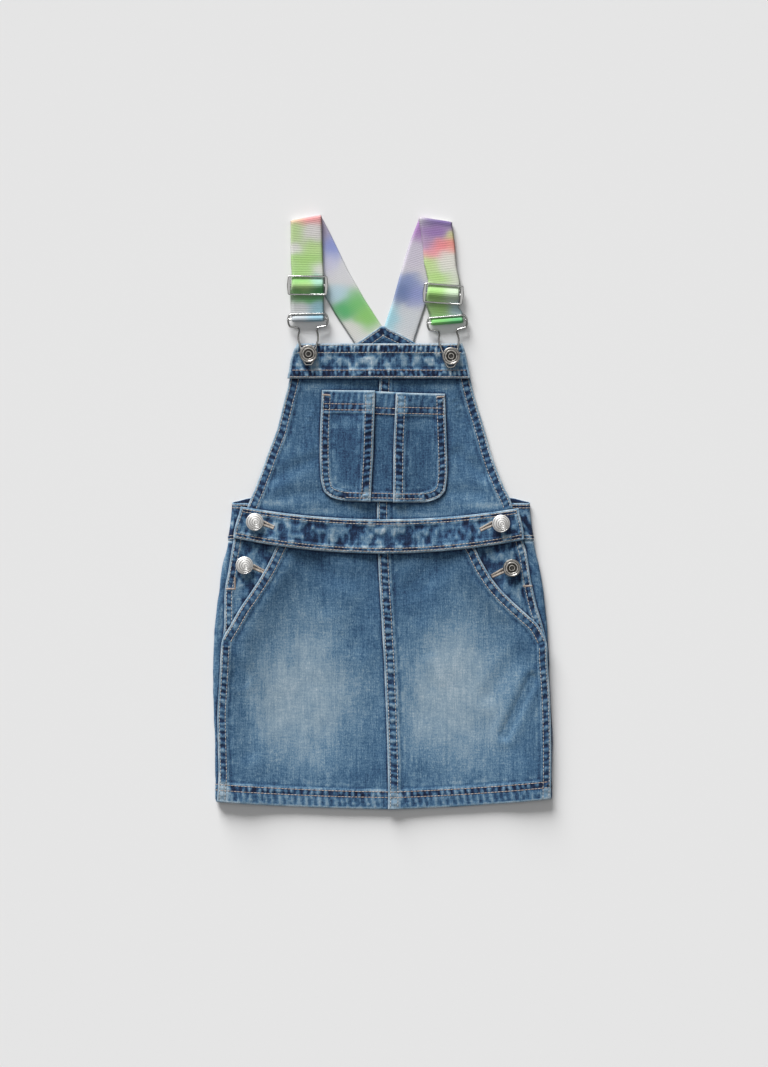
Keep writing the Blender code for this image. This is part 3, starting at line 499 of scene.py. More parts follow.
def shell_faces(rows: int, columns: int) -> list[tuple[int, ...]]:
    """Give the faces of a closed shell whose outer and inner grids share their rim.

    Args:
        rows: Rows of the outer grid.
        columns: Columns of the outer grid.

    Returns:
        Faces by point number, where the inner grid's own points follow the outer grid's.
    """
    outer = np.arange(rows * columns).reshape(rows, columns)
    inner = outer.copy()
    inner[1:-1, 1:-1] = rows * columns + np.arange((rows - 2) * (columns - 2)).reshape(rows - 2, -1)
    faces = []
    for grid, order in ((outer, (0, 1, 2, 3)), (inner, (3, 2, 1, 0))):
        corners = [grid[:-1, :-1], grid[:-1, 1:], grid[1:, 1:], grid[1:, :-1]]
        faces.append(np.stack([corners[i].ravel() for i in order], axis=1))
    return [tuple(face) for face in np.concatenate(faces).tolist()]


class Workbench:
    """The pieces made so far, the CAD solids they stand for, and what the next one lies on."""

    def __init__(self, nodes: dict[str, bpy.types.Object]) -> None:
        """Keep the solids, and start with nothing laid."""
        self.nodes = nodes
        self.laid: list[tuple[BVHTree, Vector, Vector]] = []

    @staticmethod
    def clear_selection() -> None:
        """Leave edit mode and select nothing."""
        if bpy.context.object and bpy.context.object.mode != "OBJECT":
            bpy.ops.object.mode_set(mode="OBJECT")
        bpy.ops.object.select_all(action="DESELECT")

    @staticmethod
    def tree_of(thing: bpy.types.Object) -> BVHTree:
        """Give an object's faces, in millimetres, for measuring."""
        points = [v.co / MM for v in thing.data.vertices]
        return BVHTree.FromPolygons(points, [tuple(p.vertices) for p in thing.data.polygons])

    def undersides(self, node: str, x: np.ndarray, y: np.ndarray) -> np.ndarray:
        """Give the height of a solid's underside at points, with gaps where it is missed."""
        tree = self.tree_of(self.nodes[node])
        up = Vector((0, 0, 1))
        heights = np.full(x.size, np.nan)
        for index, (px, py) in enumerate(zip(x.ravel(), y.ravel())):
            hit = tree.ray_cast(Vector((px, py, -50.0)), up)[0]
            if hit:
                heights[index] = hit.z
        return heights.reshape(x.shape)

    def tops(self, x: np.ndarray, y: np.ndarray) -> np.ndarray:
        """Give how high what has been laid reaches at points, or 0 on the bare surface."""
        heights = np.zeros(x.size)
        down = Vector((0, 0, -1))
        flat_x, flat_y = x.ravel(), y.ravel()
        for tree, low, high in self.laid:
            near = (flat_x > low.x) & (flat_x < high.x) & (flat_y > low.y) & (flat_y < high.y)
            for index in np.nonzero(near)[0]:
                hit = tree.ray_cast(Vector((flat_x[index], flat_y[index], 200.0)), down)[0]
                if hit and hit.z > heights[index]:
                    heights[index] = hit.z
        return heights.reshape(x.shape)

    def lay(self, thing: bpy.types.Object) -> None:
        """Add a finished piece to what has been laid."""
        points = np.array([v.co for v in thing.data.vertices]) / MM
        self.laid.append((self.tree_of(thing), Vector(points.min(0)), Vector(points.max(0))))

    @staticmethod
    def dress(
        thing: bpy.types.Object, material: bpy.types.Material, slot: str, replaces: Sequence[str] = ()
    ) -> None:
        """Give a piece its material and its body, and hide the solids that it stands for."""
        thing.data.materials.clear()
        thing.data.materials.append(material)
        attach(thing, BODY)
        if replaces:
            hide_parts(*replaces)
        LOG.info("%s: %d faces", thing.name, len(thing.data.polygons))


def new_mesh(
    name: str, points: np.ndarray, faces: Sequence[tuple[int, ...]], values: dict[str, np.ndarray]
) -> bpy.types.Object:
    """Make a smooth mesh object.

    Args:
        name: The piece's name.
        points: Its points in millimetres.
        faces: Its faces, turned outwards.
        values: One value or one colour for each point, by attribute name.

    Returns:
        The new object, linked to the scene.
    """
    mesh = bpy.data.meshes.new(name)
    mesh.from_pydata((points * MM).tolist(), [], faces)
    mesh.shade_smooth()
    for key, value in values.items():
        kind = "FLOAT_COLOR" if value.ndim == 2 else "FLOAT"
        layer = mesh.attributes.new(key, kind, "POINT")
        layer.data.foreach_set("color" if value.ndim == 2 else "value", value.astype(np.float32).ravel())
    thing = bpy.data.objects.new(name, mesh)
    bpy.context.scene.collection.objects.link(thing)
    return thing


@dataclass
class Stitching:
    """Sewing thread on the cloth: short rounded stitches along rows, one mesh for each colour."""

    bench: Workbench
    length: float = 2.7
    gap: float = 0.32
    width: float = 0.74
    lift: float = 0.14
    sunk_ends: float = 0.16
    hole_width_near: float = 1.45
    hole_width_far: float = 0.85
    hole_stitch: float = 2.2
    hole_pitch: float = 0.62
    tack: float = 1.5
    runs: dict[Thread, list[np.ndarray]] = field(default_factory=dict)

    def row(self, path: np.ndarray, thread: Thread) -> None:
        """Sew one row of stitches along a path.

        Args:
            path: The path's x and y alone on cloth that faces up, or else x, y, z and the way out.
            thread: The thread's colour.
        """
        steps = np.linalg.norm(np.diff(path[:, :3], axis=0), axis=1)
        run = np.concatenate([[0.0], np.cumsum(steps)])
        starts = np.arange(0.4, run[-1] - self.length, self.length + self.gap)
        for start in starts:
            places = start + self.length * np.array([0.0, 0.5, 1.0])
            self.stitch(np.stack([np.interp(places, run, column) for column in path.T], axis=1), thread)

    def stitch(self, line: np.ndarray, thread: Thread) -> None:
        """Add one stitch through three points, which are given as a row's are."""
        if line.shape[1] == 2:
            line = np.concatenate([line, np.tile((np.nan, 0.0, 0.0, 1.0), (3, 1))], axis=1)
        self.runs.setdefault(thread, []).append(line)

    def buttonhole(self, hole: Hole) -> None:
        """Sew close stitches along both sides of a buttonhole, and a bar tack across its far end."""
        start, end = np.array(hole[:2]), np.array(hole[2:])
        along = (end - start) / np.hypot(*(end - start))
        across = np.array([-along[1], along[0]])
        for side in (-1.0, 1.0):
            near = start + across * side * self.hole_width_near
            far = end + across * side * self.hole_width_far
            self.bar(tuple(near), tuple(far), self.hole_stitch, Thread.SAND, self.hole_pitch)
        tack = across * self.tack
        self.bar(tuple(end - tack), tuple(end + tack), self.tack, Thread.COPPER)

    def bar(self, start: tuple[float, float], end: tuple[float, float], width: float,
            thread: Thread, pitch: float = 0.6) -> None:
        """Sew a bar of close stitches that lie across a line.

        Args:
            start: One end of the bar.
            end: Its other end.
            width: The length of its stitches.
            thread: The thread's colour.
            pitch: The distance between stitches.
        """
        first, last = np.array(start), np.array(end)
        length = float(np.hypot(*(last - first)))
        along = (last - first) / length
        across = np.array([-along[1], along[0]]) * width / 2
        for index in range(int(length / pitch) + 1):
            middle = first + along * pitch * index
            tilt = along * 0.12 * (1 if index % 2 else -1)
            self.stitch(np.stack([middle - across - tilt, middle, middle + across + tilt]), thread)

    def finish(self, name: str, slot: str, finishes: dict[Thread, bpy.types.Material]) -> list:
        """Make the meshes of all the stitches sewn since the last time.

        Args:
            name: The name of the panel they are on.
            slot: The panel's material slot.
            finishes: The material of each thread.

        Returns:
            The new pieces.
        """
        made = []
        for thread, lines in self.runs.items():
            sewn = np.stack(lines)
            centres, ups = sewn[:, :, :3].copy(), sewn[:, :, 3:]
            heights = self.bench.tops(centres[:, :, 0], centres[:, :, 1]) + self.lift
            centres[:, :, 2] = np.where(np.isnan(centres[:, :, 2]), heights, centres[:, :, 2])
            centres[:, (0, 2)] -= self.sunk_ends * ups[:, (0, 2)]
            along = centres[:, 2] - centres[:, 0]
            along /= np.linalg.norm(along, axis=1, keepdims=True)
            points, faces = [], []
            for place, thick in ((0, 0.7), (1, 1.0), (2, 0.7)):
                up, half = ups[:, place], thick * self.width / 2
                across = np.cross(up, along)
                for out, rise in ((-1.0, 0.0), (0.0, 0.7), (1.0, 0.0), (0.0, -0.7)):
                    points.append(centres[:, place] + across * out * half + up * rise * half)
            stacked = np.stack(points, axis=1).reshape(-1, 3)
            pattern = [
                (start + side, start + (side + 1) % 4, start + 4 + (side + 1) % 4, start + 4 + side)
                for start in (0, 4)
                for side in range(4)
            ] + [(3, 2, 1, 0), (8, 9, 10, 11)]
            for index in range(len(sewn)):
                faces += [tuple(12 * index + corner for corner in face) for face in pattern]
            thing = new_mesh(f"stitches_{name}_{thread.name.lower()}", stacked, faces, {})
            outward(thing)
            Workbench.dress(thing, finishes[thread], slot)
            made.append(thing)
        self.runs = {}
        return made


def outward(thing: bpy.types.Object) -> None:
    """Turn a closed mesh's faces outwards."""
    build = bmesh.new()
    build.from_mesh(thing.data)
    bmesh.ops.recalc_face_normals(build, faces=build.faces)
    build.to_mesh(thing.data)
    build.free()


@dataclass
class Panel:
    """A flat piece of denim: its cut, turned edges, creases and wear.

    Patches are worn bare, and billow is how far the middle of the lower edge stands up.
    """

    name: str
    rows: list[Row]
    turns: list[Turn] = field(default_factory=list)
    creases: list[Crease] = field(default_factory=list)
    fades: list[Fade] = field(default_factory=list)
    patches: list[Fade] = field(default_factory=list)
    holes: list[Hole] = field(default_factory=list)
    covered_by: tuple[str, ...] = ()
    thickness: float = CLOTH
    spacing: float = 1.05
    mottle: float = 0.0
    depth: float = 0.0
    worn: float = 0.8
    cord: float = 1.7
    slot: str = "denim"
    seed: int = 1
    billow: float = 0.0

    def edge_path(self, edge: Edge, step: float = 3.0) -> np.ndarray:
        """Give the points of an edge, from the bottom up or from left to right."""
        low, high = self.rows[0].height, self.rows[-1].height
        if edge in (Edge.LEFT, Edge.RIGHT):
            levels = np.linspace(low, high, max(3, int((high - low) / step)))
            found = [row_at(self.rows, level) for level in levels]
            if edge is Edge.LEFT:
                return np.array([(row.left, row.height + row.left_lift) for row in found])
            return np.array([(row.right, row.height + row.right_lift) for row in found])
        row = self.rows[0] if edge is Edge.BOTTOM else self.rows[-1]
        share = np.linspace(0.0, 1.0, max(3, int((row.right - row.left) / step)))
        x = row.left + (row.right - row.left) * share
        lift = row.left_lift * (1 - share) + row.right_lift * share
        return np.stack([x, row.height + lift - row.bow * 4 * share * (1 - share)], axis=1)

    def inset_path(self, edge: Edge, inset: float, start: float, stop: float) -> np.ndarray:
        """Give the line that runs inside an edge at a distance from it.

        Args:
            edge: The edge.
            inset: The distance.
            start: Where the line starts: a y for the side edges, and an x for the others.
            stop: Where it stops.

        Returns:
            The line's points.
        """
        path = self.edge_path(edge, 2.0)
        along = np.gradient(path, axis=0)
        along /= np.hypot(along[:, 0], along[:, 1])[:, None]
        inward = np.stack([along[:, 1], -along[:, 0]], axis=1)
        if edge in (Edge.RIGHT, Edge.BOTTOM):
            inward = -inward
        kept = path[:, 1 if edge in (Edge.LEFT, Edge.RIGHT) else 0]
        chosen = (kept >= start) & (kept <= stop)
        return self.trim((path + inward * inset)[chosen])

    def trim(self, line: np.ndarray) -> np.ndarray:
        """Drop the points of a line that fall outside the panel."""
        keep = []
        low, high = self.rows[0], self.rows[-1]
        for x, y in line:
            height = y
            for _ in range(3):
                row = row_at(self.rows, min(max(height, low.height), high.height))
                share = min(max((x - row.left) / (row.right - row.left), 0.0), 1.0)
                lift = row.left_lift * (1 - share) + row.right_lift * share
                height = y - lift + row.bow * 4 * share * (1 - share)
            inside = low.height + 0.6 <= height <= high.height - 0.6
            keep.append(inside and row.left + 0.6 <= x <= row.right - 0.6)
        return line[np.array(keep)] if any(keep) else line[:0]

    def cut(self) -> tuple[float, float, float]:
        """Give the cut's width and length in metres, and its area in square metres."""
        levels = np.linspace(self.rows[0].height, self.rows[-1].height, 60)
        found = [row_at(self.rows, level) for level in levels]
        widths = np.array([row.right - row.left for row in found])
        length = levels[-1] - levels[0]
        return widths.max() * MM, length * MM, float(widths.mean() * length) * MM * MM

    def plan(self) -> tuple[np.ndarray, np.ndarray]:
        """Give the x and y of the panel's grid."""
        low, high = self.rows[0].height, self.rows[-1].height
        widest = max(row.right - row.left for row in self.rows)
        pattern = divided(widest, self.spacing)
        lines_x, lines_y = [], []
        for offset in divided(high - low, self.spacing):
            row = row_at(self.rows, low + offset)
            width = row.right - row.left
            share = (pattern[4:-4] - 1.6) / (widest - 3.2)
            ends = pattern[:4]
            across = np.concatenate([ends, 1.6 + (width - 3.2) * share, (width - ends)[::-1]]) / width
            lines_x.append(row.left + width * across)
            lift = row.left_lift * (1 - across) + row.right_lift * across
            lines_y.append(row.height + lift - row.bow * 4 * across * (1 - across))
        return np.array(lines_x), np.array(lines_y)

    def surface(self, x: np.ndarray, y: np.ndarray, others: dict[str, Panel]) -> tuple:
        """Work out the panel's relief and its wash and shade, painted shade included.

        Args:
            x: The grid's x.
            y: The grid's y.
            others: All the panels, by name.

        Returns:
            The relief in millimetres, and the wash and shade.
        """
        seed = self.seed * 20
        edges = {edge: to_path(x, y, self.edge_path(edge)) for edge in Edge}
        relief = 0.12 * drift(x / 9, y / 14, seed) + 0.20 * drift(x / 26, y / 34, seed + 1)
        wash = 0.10 * drift(x / 30, y / 40, seed + 2) + 0.08 * drift(x / 2.6, y / 34, seed + 3)
        wash += 0.06 * drift(x / 5.0, y / 7.0, seed + 4)
        if self.mottle:
            smear = drift(x / 5.2 + y / 30, y / 8.0, seed + 18)
            smear = np.tanh(2.2 * (smear + 0.75 * drift(x / 3.0, y / 4.4, seed + 19)))
            lines = hump(drift(x / 4.2, y / 12, seed + 15), 0.13)
            wash += self.mottle * (smear + 0.7 * lines - 0.15)
            relief += self.depth * (smear + 0.5 * lines)
        for fade in self.fades:
            far = np.hypot((x - fade.x) / fade.reach_x, (y - fade.y) / fade.reach_y)
            wash += fade.strength * (1 - ramp(0.25, 1.4, far + 0.10 * drift(x / 12, y / 20, seed + 16)))
        step = np.zeros(x.shape)
        for number, turn in enumerate(self.turns):
            inside, along = edges[turn.edge]
            place = y if turn.edge in (Edge.LEFT, Edge.RIGHT) else x
            here = ramp(turn.start - 2, turn.start + 2, place)
            here *= 1 - ramp(turn.stop - 2, turn.stop + 2, place)
            own = seed + 5 + 3 * number
            rope = puckers(along, inside, turn.pitch, own)
            between = ramp(0.0, 1.0, inside - turn.rows[0])
            between *= 1 - ramp(-1.0, 0.0, inside - turn.rows[-1])
            window = ramp(1.0, 2.2, inside) * (1 - ramp(turn.width - 1.6, turn.width - 0.2, inside))
            window *= 0.6 + 0.4 * between
            step = np.maximum(step, here * (1 - ramp(turn.width - 0.2, turn.width + 0.8, inside)))
            relief += here * window * turn.roping * 0.32 * rope
            wash += here * window * turn.roping * (np.where(rope > 0, 0.85, 0.6) * rope - 0.10)
            uneven = 0.7 + 0.45 * drift(along / 6, inside / 5, own + 1)
            wash += here * 0.65 * hump(inside - turn.width + 0.4, 0.9) * uneven
            # painted shadow just beyond the turned strip's raised edge
            wash -= here * 0.30 * hump(inside - turn.width - 1.8, 1.6)
            patch = np.clip(1.6 * drift(along / 4.5, inside / 4, own + 2) + 0.15, 0.0, 1.0)
            wash += here * 0.38 * hump(inside - turn.width - 3.4, 2.2) * patch * turn.roping
            wash += here * window * (0.10 - 0.34 * between) * turn.roping
            for sewn in turn.rows:
                relief -= here * 0.24 * hump(inside - sewn, 0.8)
                wash -= here * 0.40 * hump(inside - sewn, 0.95)
        relief += 0.55 * step
        for patch in self.patches:
            far = np.hypot((x - patch.x) / patch.reach_x, (y - patch.y) / patch.reach_y)
            bare = 1 - ramp(0.8, 1.2, far + 0.15 * drift(x / 3, y / 3, seed + 16))
            wash += bare * (patch.strength + 0.2 * drift(x / 2, y / 2, seed + 15) - wash)
        nearest = np.minimum.reduce([edges[edge][0] for edge in Edge])
        cord = 1.0 - ramp(self.cord - 0.5, self.cord + 0.5, nearest)
        wash = wash * (1 - cord) + cord * (self.worn + 0.3 * drift(x / 7, y / 7, seed + 17))
        for crease in self.creases:
            away, _ = to_path(x, y, np.array([crease[:2], crease[2:4]]))
            relief -= crease.depth * hump(away, crease.width)
            relief += 0.5 * crease.depth * hump(away - crease.width * 1.6, crease.width)
            # painted shade in the crease's trough
            wash -= 0.12 * crease.depth * hump(away, crease.width)
        for hole in self.holes:
            away, _ = to_path(x, y, np.array([hole[:2], hole[2:]]))
            relief -= 0.45 * hump(away, 0.8)
            # a paler ring 3 mm out, and the slit painted dark as its shade
            wash += 0.35 * hump(away - 3.0, 1.0) - 1.3 * hump(away, 0.9)
        # painted shadow beside the edges of the panels lying on this one
        wash -= painted_contact_shadow(x, y, [others[name] for name in self.covered_by])
        return relief, np.clip(wash, -1.3, 1.3)

    def build(self, bench: Workbench, others: dict[str, Panel]) -> bpy.types.Object:
        """Lay the panel as a thin shell on its solid's form and on what is already there.

        Args:
            bench: The workbench.
            others: All the panels, by name.

        Returns:
            The panel's piece.
        """
        x, y = self.plan()
        middle_x, middle_y = x.mean(axis=1, keepdims=True), y.mean()
        inner_x = middle_x + (x - middle_x) * MEASURED_INSIDE
        inner_y = middle_y + (y - middle_y) * MEASURED_INSIDE
        lows = filled(bench.undersides(self.name, inner_x, inner_y))
        lows = soften(lows, 14)
        inward = ramp(0.0, BILLOW_IN, BILLOW_EDGE - np.abs(x))
        lows += self.billow * inward * (1 - ramp(0.0, BILLOW_UP, y - self.rows[0].height))
        rest = bench.tops(x, y)
        rest = np.where(rest > 0, rest + CLEARANCE, 0.0)
        lows = np.maximum(lows - 0.1, rest)
        lows = np.maximum(soften(lows, 2), rest)
        relief, wash = self.surface(x, y, others)
        tops = lows + np.maximum(self.thickness + relief, 0.5)
        size = np.arange(x.shape[0])[:, None], np.arange(x.shape[1])[None, :]
        inwards = np.minimum(np.minimum(size[0], x.shape[0] - 1 - size[0]),
                             np.minimum(size[1], x.shape[1] - 1 - size[1]))
        rounded = np.select([inwards == 0, inwards == 1, inwards == 2], [0.42, 0.8, 0.95], 1.0)
        outer = lows + (tops - lows) * rounded
        points = np.stack([x, y, outer], axis=2).reshape(-1, 3)
        under = np.stack([x, y, lows], axis=2)[1:-1, 1:-1].reshape(-1, 3)
        values = np.concatenate([wash.ravel(), wash[1:-1, 1:-1].ravel() * 0.5])
        faces = shell_faces(*x.shape)
        thing = new_mesh(self.name + "_cloth", np.concatenate([points, under]), faces, {"wash": values})
        bench.lay(thing)
        return thing

    def sew(self, stitching: Stitching) -> None:
        """Sew the rows of stitches along the turned edges, and round the buttonholes."""
        for turn in self.turns:
            for inset in turn.rows:
                line = self.inset_path(turn.edge, inset, turn.start, turn.stop)
                if len(line) > 2:
                    stitching.row(line, turn.thread)
        for hole in self.holes:
            stitching.buttonhole(hole)


def painted_contact_shadow(x: np.ndarray, y: np.ndarray, above: Sequence[Panel]) -> np.ndarray:
    """Give the painted shadow that darkens the cloth beside the edges of the panels that lie on it."""
    dark = np.zeros(x.shape)
    for panel in above:
        for edge in Edge:
            away, _ = to_path(x, y, panel.edge_path(edge))
            dark = np.maximum(dark, 0.65 * hump(away, 1.25) + 0.12 * hump(away, 4.5))
    return dark


@dataclass
class Wrap:
    """A back piece that lies on the surface and curls round both sides onto the front.

    Corner is how far its upper edge drops on the surface beside the side folds.
    """

    name: str
    rows: list[WrapRow]
    slot: str
    seed: int
    sewn_up: tuple[float, ...]
    sewn_down: tuple[float, ...]
    thread: Thread
    hem: float
    covered_by: tuple[str, ...]
    mottle: float
    creases: list[Crease] = field(default_factory=list)
    fades: list[Fade] = field(default_factory=list)
    corner: float = 0.0
    level_step: float = 1.7
    over_steps: int = 24
    arc_steps: int = 10
    flat_steps: int = 84
    stitch_below: float = -0.22
    stitch_above: float = 0.14
    skin: np.ndarray | None = None

    def profile(self, row: WrapRow) -> np.ndarray:
        """Give a section's points as x, height and outward direction."""
        radius = FOLD_HEIGHT / 2
        halves = []
        for side, edge, over in ((-1, row.left, row.left_over), (1, row.right, row.right_over)):
            share = np.arange(self.over_steps) / self.over_steps
            flat_x = edge - side * (over + (radius - over) * share)
            ones = np.ones(self.over_steps)
            top = np.stack([flat_x, FOLD_HEIGHT * ones, 0 * ones, ones], axis=1)
            angle = math.pi * np.arange(self.arc_steps + 1) / self.arc_steps
            nx, nz = side * np.sin(angle), np.cos(angle)
            arc = np.stack([edge - side * radius + nx * radius, radius + nz * radius, nx, nz], axis=1)
            halves.append(np.concatenate([top, arc]))
        left, right = halves
        share = (np.arange(1, self.flat_steps) / self.flat_steps)[:, None]
        flat = left[-1] + (right[-1] - left[-1]) * share
        flat[:, 1:] = (0.0, 0.0, -1.0)
        return np.concatenate([left, flat, right[::-1]])

    def levels(self) -> np.ndarray:
        """Give the distances above the lower edge at which the piece has its rows of points."""
        tall = self.rows[-1].height - self.rows[0].height
        count = max(8, round(tall / self.level_step))
        return np.concatenate([[0.0, 0.4], np.linspace(1.0, tall - 1.0, count), [tall - 0.4, tall]])

    def build(self, bench: Workbench, others: dict[str, Panel]) -> bpy.types.Object:
        """Make the piece and lay it on the bench.

        Args:
            bench: The workbench.
            others: All the panels, by name.

        Returns:
            The piece.
        """
        levels = self.levels()
        rows = [row_at(self.rows, self.rows[0].height + level) for level in levels]
        x, z, nx, nz = np.moveaxis(np.array([self.profile(row) for row in rows]), 2, 0)
        height, left, right, _, _, bow, right_lift, back_lift = np.array(rows).T[:, :, None]
        across = (x - (left + right) / 2) / ((right - left) / 2)
        lowness = 1.0 - z / FOLD_HEIGHT
        y = height + right_lift * (across + 1) / 2 + back_lift * lowness
        y = y - bow * (1.0 - across**2) * lowness
        rise = (levels / levels[-1])[:, None]
        y -= self.corner * rise * lowness * ramp(0.86, 1.0, np.abs(across))
        steps = np.hypot(np.diff(x, axis=1), np.diff(z, axis=1))
        girth = np.concatenate([np.zeros((len(rows), 1)), np.cumsum(steps, axis=1)], axis=1)
        swell, wash = self.surface(np.stack([x, y, z]), girth, levels[:, None] + 0 * x, others)
        way = np.stack([nx, 0 * nx, nz], axis=2)
        outer = np.stack([x, y, z], axis=2) + way * swell[..., None]
        inner = outer - way * CLOTH
        self.skin = np.concatenate([outer, way], axis=2)
        for edge in (np.s_[0], np.s_[-1], np.s_[:, 0], np.s_[:, -1]):
            outer[edge] = (outer[edge] + inner[edge]) / 2
        points = np.concatenate([outer.reshape(-1, 3), inner[1:-1, 1:-1].reshape(-1, 3)])
        # the inner face gets painted shade: near-dark as it is inside the folds
        values = np.concatenate([wash.ravel(), 0.3 * wash[1:-1, 1:-1].ravel() - 0.95])
        thing = new_mesh(self.name + "_cloth", points, shell_faces(*wash.shape), {"wash": values})
        outward(thing)
        bench.lay(thing)
        return thing

    def surface(
        self, place: np.ndarray, girth: np.ndarray, level: np.ndarray, others: dict[str, Panel]
    ) -> tuple[np.ndarray, np.ndarray]:
        """Work out how far the piece swells from its form, and its wash and shade, painted shade
        included.

        Args:
            place: The x, y and z of the form's points.
            girth: Their distances round the piece.
            level: Their distances above its lower edge.
            others: All the panels, by name.

        Returns:
            The swell in millimetres, which is below zero in a hollow, and the wash and shade.
        """
        x, y, z = place
        raised = ramp(0.4, 3.0, z)
        swell = 0.30 * drift(girth / 7, y / 9, self.seed) * raised
        swell -= 0.7 * np.clip(drift(x / 26, y / 38, self.seed + 5) + 0.1, 0.0, 1.0) * (1 - raised)
        for crease in self.creases:
            away, _ = to_path(x, y, np.array([crease[:2], crease[2:4]]))
            swell -= crease.depth * hump(away, crease.width) * (1 - raised)
        wash = 0.12 * drift(girth / 2.6, y / 34, self.seed + 1)
        wash += 0.14 * drift(girth / 9, y / 12, self.seed + 2)
        blotch = drift(girth / 3.6, y / 6.0, self.seed + 7)
        blotch += 0.7 * drift(girth / 2.2, y / 3.2, self.seed + 8)
        wash += (self.mottle * np.tanh(2.2 * blotch) - 0.12) * raised
        # paler along the upper side of the side folds: partly a worn folded edge, partly painted light
        # where the fold turns from the key
        wash += 0.32 * hump(z - 4.2, 2.0) * (0.7 + 0.5 * drift(girth / 6, y / 14, self.seed + 4))
        for fade in self.fades:
            far = np.hypot((x - fade.x) / fade.reach_x, (y - fade.y) / fade.reach_y)
            wash += fade.strength * (1 - ramp(0.0, 1.4, far + 0.15 * drift(x / 5, y / 7, self.seed + 3)))
        top = level.max() - level
        rope = puckers(girth, level, 6.4, self.seed + 6)
        strip = ramp(1.0, 2.2, level) * (1 - ramp(self.hem - 1.4, self.hem, level))
        wash += strip * (np.where(rope > 0, 0.7, 0.5) * rope - 0.10)
        swell += (0.3 + 0.24 * rope) * strip * raised
        for distance, insets in ((level, self.sewn_up), (top, self.sewn_down)):
            for inset in insets:
                wash -= 0.40 * hump(distance - inset, 0.95)
        cord = 1.0 - ramp(0.9, 1.9, np.minimum(level, top))
        wash = wash * (1 - cord) + cord * (0.7 + 0.3 * drift(girth / 7, y / 7, self.seed + 9))
        # painted shadow beside the edges of the pieces lying on this one
        wash -= painted_contact_shadow(x, y, [others[name] for name in self.covered_by]) * raised
        return swell, np.clip(wash, -1.3, 1.3)

    def sew(self, stitching: Stitching) -> None:
        """Sew the rows that run round the piece, level with the cloth where it lies on the surface."""
        levels = self.levels()
        tall = levels[-1]
        for level in [*self.sewn_up, *(tall - down for down in self.sewn_down)]:
            after = int(np.searchsorted(levels, level))
            share = (level - levels[after - 1]) / (levels[after] - levels[after - 1])
            line = self.skin[after - 1] * (1 - share) + self.skin[after] * share
            sunk = np.where(line[:, 5] < -0.5, self.stitch_below, self.stitch_above)
            line[:, :3] += line[:, 3:] * sunk[:, None]
            stitching.row(line, self.thread)

    def cut(self) -> tuple[float, float, float]:
        """Give the cut's width and length in metres, and its area in square metres."""
        widths = []
        for level in np.linspace(self.rows[0].height, self.rows[-1].height, 40):
            row = row_at(self.rows, level)
            bends = 2 * (math.pi - 2) * FOLD_HEIGHT / 2
            widths.append(row.right - row.left + row.left_over + row.right_over + bends)
        length = self.rows[-1].height - self.rows[0].height
        return max(widths) * MM, length * MM, float(np.mean(widths)) * length * MM * MM


def placed(place: Place, along: float, across: float, z: float) -> Vector:
    """Give a point by its distances down from a placed piece's middle and across it."""
    turn = math.radians(place.turn)
    x = place.x + math.sin(turn) * along + math.cos(turn) * across
    y = place.y - math.cos(turn) * along + math.sin(turn) * across
    return Vector((x, y, z))


